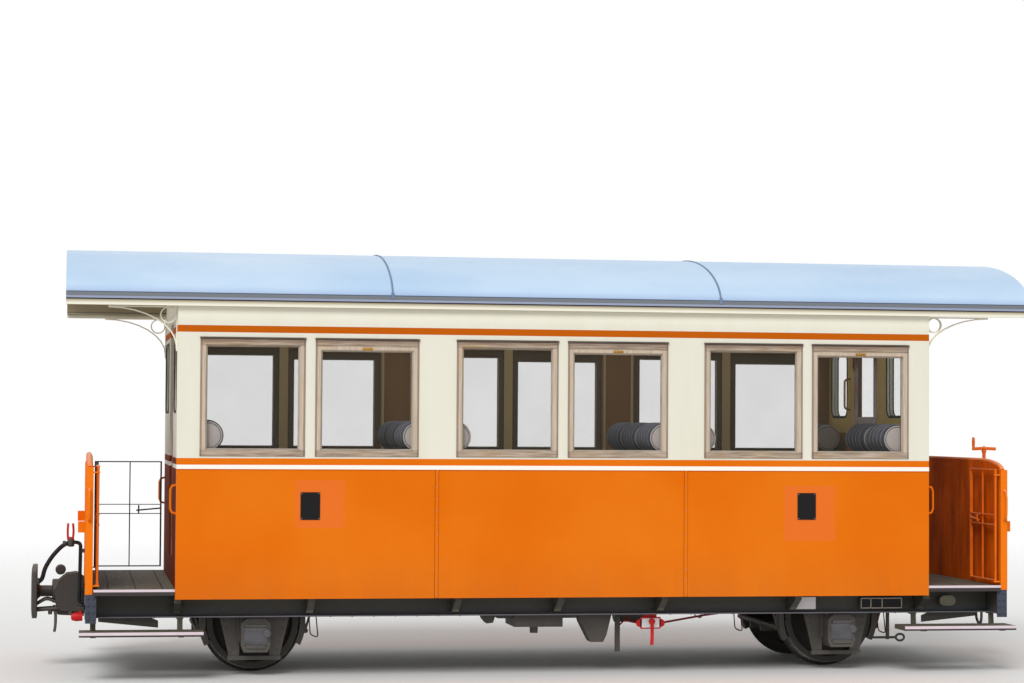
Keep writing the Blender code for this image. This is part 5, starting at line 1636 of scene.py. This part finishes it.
@dataclass
class RunningGear:
    """Turned wheels, axlebox covers, the springs' U-bolts and the axleguards' rivets."""

    tread: float = 0.350
    back: float = 0.470
    flange: float = 0.028

    def wheel_profile(self) -> Array:
        """The wheel's closed section: tyre with a rounded flange, dished disc and hub."""
        r, f = self.tread, self.flange
        return np.array([(0.000, r - 0.055), (0.000, r + f - 0.010), (0.004, r + f - 0.002), (0.010, r + f),
                         (0.018, r + f - 0.003), (0.024, r + 0.012), (0.030, r + 0.004), (0.042, r),
                         (0.118, r - 0.004), (0.125, r - 0.008), (0.125, r - 0.050), (0.120, r - 0.058),
                         (0.084, r - 0.062), (0.078, r - 0.080), (0.070, 0.180), (0.078, 0.125),
                         (0.122, 0.102), (0.128, 0.096), (0.128, 0.050), (-0.020, 0.050), (-0.020, 0.100),
                         (0.034, 0.130), (0.040, 0.180), (0.046, r - 0.080), (0.040, r - 0.060)])

    def wheelset(self, end: int) -> Shape:
        """Axle and two wheels, each turned round the axle's line."""
        centre = (end * AXLE_X, 0, AXLE_Z)
        axle = turned([(-0.885, 0.040), (-0.880, 0.045), (-0.737, 0.045), (-0.735, 0.052), (-0.500, 0.060),
                       (0.500, 0.060), (0.735, 0.052), (0.737, 0.045), (0.880, 0.045), (0.885, 0.040)],
                      "y", centre, 48)
        wheels = [ring_turned(self.wheel_profile() * (side, 1) + (side * self.back, 0), "y", centre, 96)
                  for _, side in SIDES]
        return Shape.joined([axle, *wheels])

    def box_front(self, end: int) -> Shape:
        """An axlebox's cover: a crowned lid with a rim, hinge pin, ribs and bolts.

        The lid is a loft of rounded outlines that shrink as they come forward.
        """
        x, face = end * AXLE_X, 0.955
        low, high = RAIL + 0.205, RAIL + 0.338
        rows = [set_at(rounded((x - 0.092 + s, low + s), (x + 0.092 - s, high - s), 0.034), "y", face + depth)
                for depth, s in ((0.0, 0.0), (0.008, 0.0), (0.020, 0.010), (0.026, 0.030))]
        lid = Shape.grid(np.stack(rows))
        rib = carried(rounded((-0.006, -0.005), (0.006, 0.005), 0.003, 2),
                      smooth_path([(x - 0.060, face + 0.018, low + 0.085),
                                   (x, face + 0.022, low + 0.072),
                                   (x + 0.060, face + 0.018, low + 0.085)], 0.04))
        pin = tube([(x + a, face + 0.010, high + 0.010) for a in (-0.078, 0.078)], 0.011)
        cap = turned(np.array([(0.0, 0.030), (0.020, 0.030), (0.028, 0.024), (0.030, 0.010)])
                     + (face + 0.006, 0), "y", (x + 0.082, 0, high - 0.046), 24)
        corners = pairings((x - 0.090, x + 0.090), (RAIL + 0.215, RAIL + 0.320))
        bolts = bolt_heads(0.010, "y", 1, corners, face)
        return Shape.joined([lid, rib, pin, cap, bolts])

    def guard_bolts(self, end: int) -> Shape:
        """Rivet heads down the legs of an axleguard and along its tie bar."""
        x, share = end * AXLE_X, np.linspace(0.1, 0.9, 5)
        lean, height = 0.168 + share * 0.066, RAIL + 0.125 + share * 0.28
        legs = np.concatenate([np.column_stack([x + way * lean, height]) for way in (-1, 1)])
        tie = pairings((x - 0.160, x + 0.160), (RAIL + 0.101,))
        return Shape.joined([bolt_heads(0.009, "y", 1, legs, 0.801),
                             bolt_heads(0.009, "y", 1, tie, 0.810)])

    def springs(self, end: int) -> Shape:
        """The two U-bolts that clamp a leaf spring to its axlebox."""
        low, high = AXLE_Z + 0.110, AXLE_Z + 0.192
        near, far = 0.804, 0.896
        return Shape.joined([
            tube([(x, near, low), (x, near, high), (x, far, high), (x, far, low)], 0.006, 0.012, 8)
            for x in (end * AXLE_X - 0.030, end * AXLE_X + 0.030)])

    def build(self) -> None:
        """Both wheelsets, and the axleboxes' fittings, shaped for the far side and flipped."""
        for end_name, end in ENDS:
            piece(f"wheels_{end_name}", self.wheelset(end), WHEEL, body=f"wheelset_{end_name}",
                  sharp=30, replaces=[f"wheelset_{end_name}"])
            kinds = (("box_cover", self.box_front(end), BOX_GREY, 0.0015),
                     ("guard_bolts", self.guard_bolts(end), IRON, 0.0),
                     ("spring_bolts", self.springs(end), IRON, 0.0))
            for side_name, side in SIDES:
                for label, shape, finish, bevel in kinds:
                    piece(f"{label}_{end_name}_{side_name}", shape.flipped(side=side), finish,
                          bevel=bevel)


@dataclass
class FrameFittings:
    """Blank plates, rivets, the changeover lever, hanger loops and rods on the underframe."""

    changeover_x: float = 0.733
    brackets: tuple[float, ...] = (-2.836, -1.860, -0.770, 0.006, 0.800, 1.840, 2.856)
    date_marks: tuple[float, ...] = (2.392, 2.470, 2.560, 2.716)
    date_height: tuple[float, float] = (RAIL + 0.456, RAIL + 0.530)
    label_y: float = SOLEBAR_OUTER - 0.006

    def rivets(self) -> Shape:
        """Pairs of rivets on the solebar's web beside each bracket and along its flanges."""
        x = np.array(self.brackets)
        beside = pairings(np.concatenate([x - 0.045, x + 0.045]), FRAME_LOW + np.array([0.035, 0.090, 0.145]))
        along = np.linspace(-3.32, 3.32, 42)
        along = along[np.abs(np.abs(along) - AXLE_X) > 0.30]
        under = set_at(pairings(along, (FRAME_LOW,)), "y", 0.972)
        return Shape.joined([bolt_heads(0.009, "y", 1, beside, WEB_OUTER),
                             bolt_head(0.008, "z", -1).scattered(under)])

    def label(self, x: tuple[float, float], z: tuple[float, float], radius: float = 0.004) -> Shape:
        """A thin plate in front of the web, on two lugs that reach back to it."""
        front = self.label_y
        plate = prism(rounded((x[0], z[0]), (x[1], z[1]), radius), "y", front - 0.004, front)
        lugs = [block((m - 0.010, m + 0.010), (front - 0.003, WEB_OUTER),
                      (z[0] + 0.02, z[1] - 0.02)) for m in (x[0] + 0.03, x[1] - 0.03)]
        return Shape.joined([plate, *lugs])

    def date_frame(self) -> tuple[Shape, Shape]:
        """A row of three blank cells: a dark backing plate and the raised pale frame on it."""
        marks, (low, high) = self.date_marks, self.date_height
        raised = (self.label_y, self.label_y + 0.003)
        bars = [block((marks[0], marks[-1]), raised, (z - 0.004, z + 0.004)) for z in (low, high)]
        bars += [block((x - 0.004, x + 0.004), raised, (low - 0.004, high + 0.004)) for x in marks]
        backing = self.label((marks[0] - 0.006, marks[-1] + 0.006), (low - 0.006, high + 0.006))
        return backing, Shape.joined(bars)

    def stays(self) -> Shape:
        """Tapered stays under the platforms, from the headstock in towards the wheels."""
        outline = np.array([(3.400, RAIL + 0.384), (3.400, RAIL + 0.372), (2.960, RAIL + 0.326),
                            (2.960, RAIL + 0.378), (3.050, FRAME_LOW - 0.0005), (3.400, FRAME_LOW - 0.0005)])
        stay = prism(outline, "y", 0.744, 0.756)
        return Shape.joined([stay.flipped(end, side) for _, end in ENDS for _, side in SIDES])

    def bracket_faces(self) -> Shape:
        """The greenish grey noses of the body brackets, a thin skin over each."""
        outline = np.array([(1.0125, RAIL + 0.449), (1.0150, RAIL + 0.449),
                            (1.1690, RAIL + 0.538), (1.1665, RAIL + 0.540)])
        return Shape.joined([prism(outline, "x", x - 0.025, x + 0.025) for x in self.brackets])

    def changeover(self) -> tuple[Shape, Shape, Shape]:
        """White plate, red frame with its lever, and the oxide-red rods beside it."""
        x, y = self.changeover_x, 0.985
        low, high = RAIL + 0.312, RAIL + 0.392
        plate = prism(rounded((x - 0.068, low + 0.006), (x + 0.068, high - 0.004), 0.006), "y", y, y + 0.004)
        back = prism(rounded((x - 0.080, low - 0.004), (x + 0.080, high + 0.006), 0.010), "y", y - 0.010, y)
        post = block((x - 0.050, x + 0.050), (y - 0.012, y - 0.030), (low + 0.02, FRAME_LOW + 0.002))
        ears = [turned([(y - 0.010, 0.030), (y, 0.030)], "y", (x + a, 0, low + 0.040), 20)
                for a in (-0.082, 0.082)]
        hub = turned([(y + 0.004, 0.024), (y + 0.018, 0.024), (y + 0.022, 0.016)], "y",
                     (x + 0.008, 0, low + 0.052), 24)
        lever = carried(rounded((-0.013, -0.005), (0.013, 0.005), 0.004, 2),
                        smooth_path([(x + 0.008, y + 0.014, low + 0.055),
                                     (x + 0.010, y + 0.016, low - 0.040),
                                     (x + 0.006, y + 0.016, RAIL + 0.188)], 0.03))
        rods = Shape.joined([
            tube([(x + 0.080, y - 0.010, RAIL + 0.352), (1.160, y - 0.020, RAIL + 0.408),
                  (1.270, y - 0.020, FRAME_LOW + 0.004)], 0.008, 0.04),
            tube([(x - 0.080, y - 0.010, RAIL + 0.350), (0.540, y - 0.060, RAIL + 0.372)], 0.008),
            tube([(0.500, y - 0.060, RAIL + 0.330), (0.600, y - 0.060, FRAME_LOW + 0.006)], 0.006)])
        return plate, Shape.joined([back, post, *ears, hub, lever]), rods

    def loops(self) -> Shape:
        """Safety loops beside the wheels: thin round bar bent down and up again under the frame."""
        hangers = ((-1.805, 0.235), (1.500, 0.255), (2.660, 0.230))
        return Shape.joined([
            tube([(x - 0.028, side * 0.640, FRAME_LOW + 0.040), (x - 0.014, side * 0.640, RAIL + low + 0.02),
                  (x + 0.046, side * 0.640, RAIL + low), (x + 0.022, side * 0.640, FRAME_LOW + 0.040)],
                 0.0045, 0.025, 8)
            for _, side in SIDES for x, low in hangers])

    def pull_rod(self) -> Shape:
        """A hanger and a flat pull rod with an eye outside the right wheel."""
        y = 0.600
        hanger = block((2.722, 2.748), (y - 0.008, y + 0.008), (RAIL + 0.180, FRAME_LOW + 0.050))
        rod = block((2.600, 2.806), (y - 0.006, y + 0.006), (RAIL + 0.186, RAIL + 0.204))
        ring = set_at(circle(1, 24) * (0.034, 0.026) + (2.838, RAIL + 0.195), "y", y)
        return Shape.joined([hanger, rod, carried(circle(0.009, 8), ring, closed=True)])

    def build(self) -> None:
        """All of the underframe's fittings, shaped for the far side and flipped to the near one."""
        backing, cells = self.date_frame()
        plate, lever, rods = self.changeover()
        square = self.label((1.863, 2.030), (RAIL + 0.450, RAIL + 0.542))
        oval = self.label((3.025, 3.155), (RAIL + 0.470, RAIL + 0.548), 0.0385)
        kinds = (("frame_rivets", self.rivets(), IRON_CLEAN, "black_iron", 0.0),
                 ("bracket_skins", self.bracket_faces(), BRACKET_GREY, "black_iron", 0.0),
                 ("solebar_plate", square, WHITE_PLATE, "cream_paint", 0.001),
                 ("solebar_oval", oval, GREY_PLATE, "cream_paint", 0.001),
                 ("date_plate", backing, BLACK_PLATE, "black_iron", 0.001),
                 ("date_cells", cells, PUTTY, "cream_paint", 0.0008),
                 ("changeover_plate", plate, WHITE_PLATE, "cream_paint", 0.001),
                 ("changeover_lever", lever, RED_IRON, "orange_paint", 0.001),
                 ("changeover_rods", rods, RED_RUSTY, "black_iron", 0.0))
        for name, side in SIDES:
            for label, shape, finish, slot, bevel in kinds:
                piece(f"{label}_{name}", shape.flipped(side=side), finish, bevel=bevel)
        piece("safety_loops", self.loops(), RED_RUSTY)
        piece("platform_stays", self.stays(), IRON, bevel=0.001)
        pulls = Shape.joined([self.pull_rod().flipped(side=side) for _, side in SIDES])
        piece("brake_pull_rods", pulls, IRON, bevel=0.001)


@dataclass
class EndGear:
    """Buffers, couplings and the brake hose."""

    buffer_z: float = RAIL + 0.553
    face: float = 3.900
    cock: Point = (-3.605, -0.200, RAIL + 0.930)

    def buffer(self) -> Shape:
        """Plate, crowned head, shank, stepped guide and the foot on the headstock."""
        z, face = self.buffer_z, self.face
        rows = []
        for depth, shrink in ((0.045, 0.004), (0.043, 0.000), (0.014, 0.000), (0.009, 0.003), (0.004, 0.030),
                              (0.001, 0.070), (0.0, 0.110)):
            wide, high = 0.170 - shrink, 0.2015 - shrink
            outline = rounded((-wide, z - high), (wide, z + high), max(0.060 - shrink * 0.3, 0.02))
            rows.append(set_at(outline, "x", face - depth))
        plate = Shape.grid(np.stack(rows))
        start = HALF_FRAME + 0.0005
        guide = turned([(start + 0.018, 0.110), (start + 0.030, 0.096), (start + 0.150, 0.080),
                        (start + 0.190, 0.078), (start + 0.196, 0.092), (start + 0.236, 0.092),
                        (start + 0.242, 0.084), (start + 0.243, 0.050)], "x", (0, 0, z), 40)
        shank = turned([(start + 0.200, 0.043), (face - 0.070, 0.043), (face - 0.052, 0.060),
                        (face - 0.042, 0.082)], "x", (0, 0, z), 32)
        foot = block((start, start + 0.020), (-0.150, 0.150), (FRAME_LOW + 0.002, FRAME_TOP - 0.002))
        corners = pairings((-0.125, 0.125), (FRAME_LOW + 0.03, FRAME_TOP - 0.03))
        bolts = bolt_heads(0.014, "x", 1, corners, start + 0.020)
        return Shape.joined([plate, guide, shank, foot, bolts])

    def coupling(self) -> Shape:
        """Draw hook below the buffer, with its shackle and a screw hanging from it."""
        x0, z = HALF_FRAME + 0.0005, RAIL + 0.470
        hook = prism(np.array([(x0, z - 0.110), (x0 + 0.190, z - 0.100), (x0 + 0.238, z - 0.072),
                               (x0 + 0.248, z - 0.040), (x0 + 0.226, z - 0.022), (x0 + 0.205, z - 0.040),
                               (x0 + 0.188, z - 0.058), (x0 + 0.100, z - 0.060), (x0, z - 0.050)]),
                     "y", -0.020, 0.020)
        neck = block((x0, x0 + 0.118), (-0.045, 0.045), (FRAME_LOW - 0.048, self.buffer_z - 0.08))
        x = x0 + 0.214
        shackle = tube([(x, -0.060, z - 0.075), (x, -0.062, z - 0.185), (x + 0.010, 0, z - 0.235),
                        (x, 0.062, z - 0.185), (x, 0.060, z - 0.075)], 0.011, 0.05)
        pin = tube([(x, -0.078, z - 0.080), (x, 0.078, z - 0.080)], 0.014)
        return Shape.joined([hook, neck, shackle, pin])

    def casing(self) -> Shape:
        """Cast housing round the guide, its lower yoke to the plate, stays and nuts."""
        x0, back = HALF_FRAME + 0.0005, self.face - 0.044
        outline = np.array([(x0, 0.400), (x0 + 0.170, 0.405), (x0 + 0.215, 0.450), (x0 + 0.222, 0.560),
                            (x0 + 0.195, 0.640), (x0 + 0.135, 0.690), (x0 + 0.060, 0.700), (x0, 0.660)])
        shapes = [prism(outline + (0, RAIL), "y", way * 0.094, way * 0.062) for way in (-1, 1)]
        shapes.append(block((x0 + 0.010, x0 + 0.190), (-0.093, 0.093), (RAIL + 0.412, RAIL + 0.446)))
        for way in (-1, 1):
            y = way * 0.075
            shapes.append(tube([(x0 + 0.180, y, RAIL + 0.425), (back + 0.004, y, RAIL + 0.412)], 0.013))
            shapes.append(tube([(x0 + 0.200, y, RAIL + 0.470), (x0 + 0.285, y, RAIL + 0.500),
                                (back + 0.004, y, RAIL + 0.455)], 0.010, 0.03))
            for run, low, radius in ((0.255, RAIL + 0.378, 0.016), (0.100, RAIL + 0.376, 0.018)):
                nut = [(low, radius), (low + 0.020, radius + 0.002), (low + 0.048, radius + 0.002)]
                shapes.append(turned(nut, "z", (x0 + run, y, 0), 6))
        eye = turned([(-0.020, 0.034), (-0.014, 0.040), (0.014, 0.040), (0.020, 0.034)], "y",
                     (x0 + 0.180, 0, RAIL + 0.716), 20)
        return Shape.joined([*shapes, eye])

    def hose(self) -> tuple[Shape, Shape, Shape]:
        """The air pipe up the panel, the hose down to its holder on the buffer, and red handles."""
        x, y, top = self.cock
        foot, holder_z = FRAME_LOW + 0.060, RAIL + 0.630
        pipe = tube([(-3.5005, y, foot), (-3.540, y, foot), (-3.536, y, RAIL + 0.600), (-3.532, y, top),
                     (x, y, top + 0.006)], 0.014, 0.03, 16)
        flange = turned([(-3.5005, 0.034), (-3.512, 0.034), (-3.514, 0.022)], "x", (0, y, foot), 20)
        rubber = tube([(x + 0.012, y, top + 0.006), (-3.660, y, top - 0.012), (-3.740, y, RAIL + 0.835),
                       (-3.800, y + 0.004, RAIL + 0.735), (-3.815, y + 0.020, RAIL + 0.655),
                       (-3.845, y + 0.060, holder_z)], 0.0165, 0.05, 16)
        holder = turned([(-3.857, 0.030), (-3.840, 0.030), (-3.836, 0.024)], "x",
                        (0, y + 0.060, holder_z), 16)
        ferrule = turned([(x - 0.062, 0.020), (x - 0.058, 0.021), (x - 0.040, 0.021), (x - 0.036, 0.020)],
                         "x", (0, y, top - 0.006), 18)
        body = turned([(top - 0.030, 0.018), (top - 0.024, 0.026), (top + 0.028, 0.026),
                       (top + 0.040, 0.018)], "z", (x, y, 0), 20)
        clip = block((-3.4917, -3.540), (y - 0.012, y + 0.012), (RAIL + 0.855, RAIL + 0.885))
        handles = [tube([(x + a, y - 0.012, top + 0.030), (x + a + lean, y - 0.018, top + 0.085),
                         (x + a, y - 0.022, top + 0.148)], 0.0085, 0.03)
                   for a, lean in ((-0.022, -0.004), (0.014, 0.006))]
        bridge = block((x - 0.030, x + 0.022), (y - 0.020, y + 0.006), (top + 0.022, top + 0.044))
        low_cock = turned([(-3.512, 0.030), (-3.560, 0.034), (-3.592, 0.026), (-3.598, 0.012)], "x",
                          (0, y - 0.060, RAIL + 0.372), 18)
        low_stem = block((-3.540, -3.522), (y - 0.070, y - 0.050), (RAIL + 0.372, RAIL + 0.430))
        low_foot = block((-3.560, -3.5005), (y - 0.080, y - 0.040), (RAIL + 0.426, RAIL + 0.446))
        return (Shape.joined([pipe, flange, rubber]), Shape.joined([body, clip, holder, ferrule, low_foot]),
                Shape.joined([*handles, bridge, low_cock, low_stem]))

    def build(self) -> None:
        """Both ends, shaped for the right one and flipped to the left one, where the hose is."""
        for name, end in ENDS:
            piece(f"buffer_gear_{name}", self.buffer().flipped(end), IRON, bevel=0.0015,
                  replaces=[f"buffer_{name}"])
            piece(f"coupling_{name}", self.coupling().flipped(end), IRON, bevel=0.002)
            piece(f"coupling_casing_{name}", self.casing().flipped(end), IRON, bevel=0.004)
        pipe, head, cock = self.hose()
        piece("brake_hose", pipe, RUBBER, replaces=["brake_hose_left"])
        piece("brake_hose_head", head, IRON_CLEAN, bevel=0.001)
        piece("brake_cock", cock, RED_IRON)


def dress_nodes(nodes: dict[str, bpy.types.Object]) -> None:
    """Give each CAD node its finish; those that the pieces replace need none of their own.

    Args:
        nodes: The CAD nodes by name.
    """
    finishes = (("side_wall", BODY_SIDE), ("end_wall", BODY_END), ("platform_panel", PANEL),
                ("platform_deck", DECK), ("saloon_floor", SALOON_BOARDS), ("footboard", STEP_BOARDS),
                ("window", FRAME_WOOD), ("saloon_door", DOOR_WOOD))
    for name, node in nodes.items():
        finish = next((finish for start, finish in finishes if name.startswith(start)), IRON)
        node.data.materials.clear()
        node.data.materials.append(finish.material())


def main() -> None:
    """Load the frame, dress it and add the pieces."""
    logging.basicConfig(level=logging.INFO, format="%(name)s: %(message)s")
    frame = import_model()
    Studio().build()
    dress_nodes(frame["nodes"])
    for assembly in (RoofShell(), SideFittings(), WindowFittings(), Saloon(), PlatformFittings(), Handbrake(),
                     RunningGear(), FrameFittings(), EndGear()):
        log.info("building %s", type(assembly).__name__)
        assembly.build()


if __name__ == "__main__":
    main()
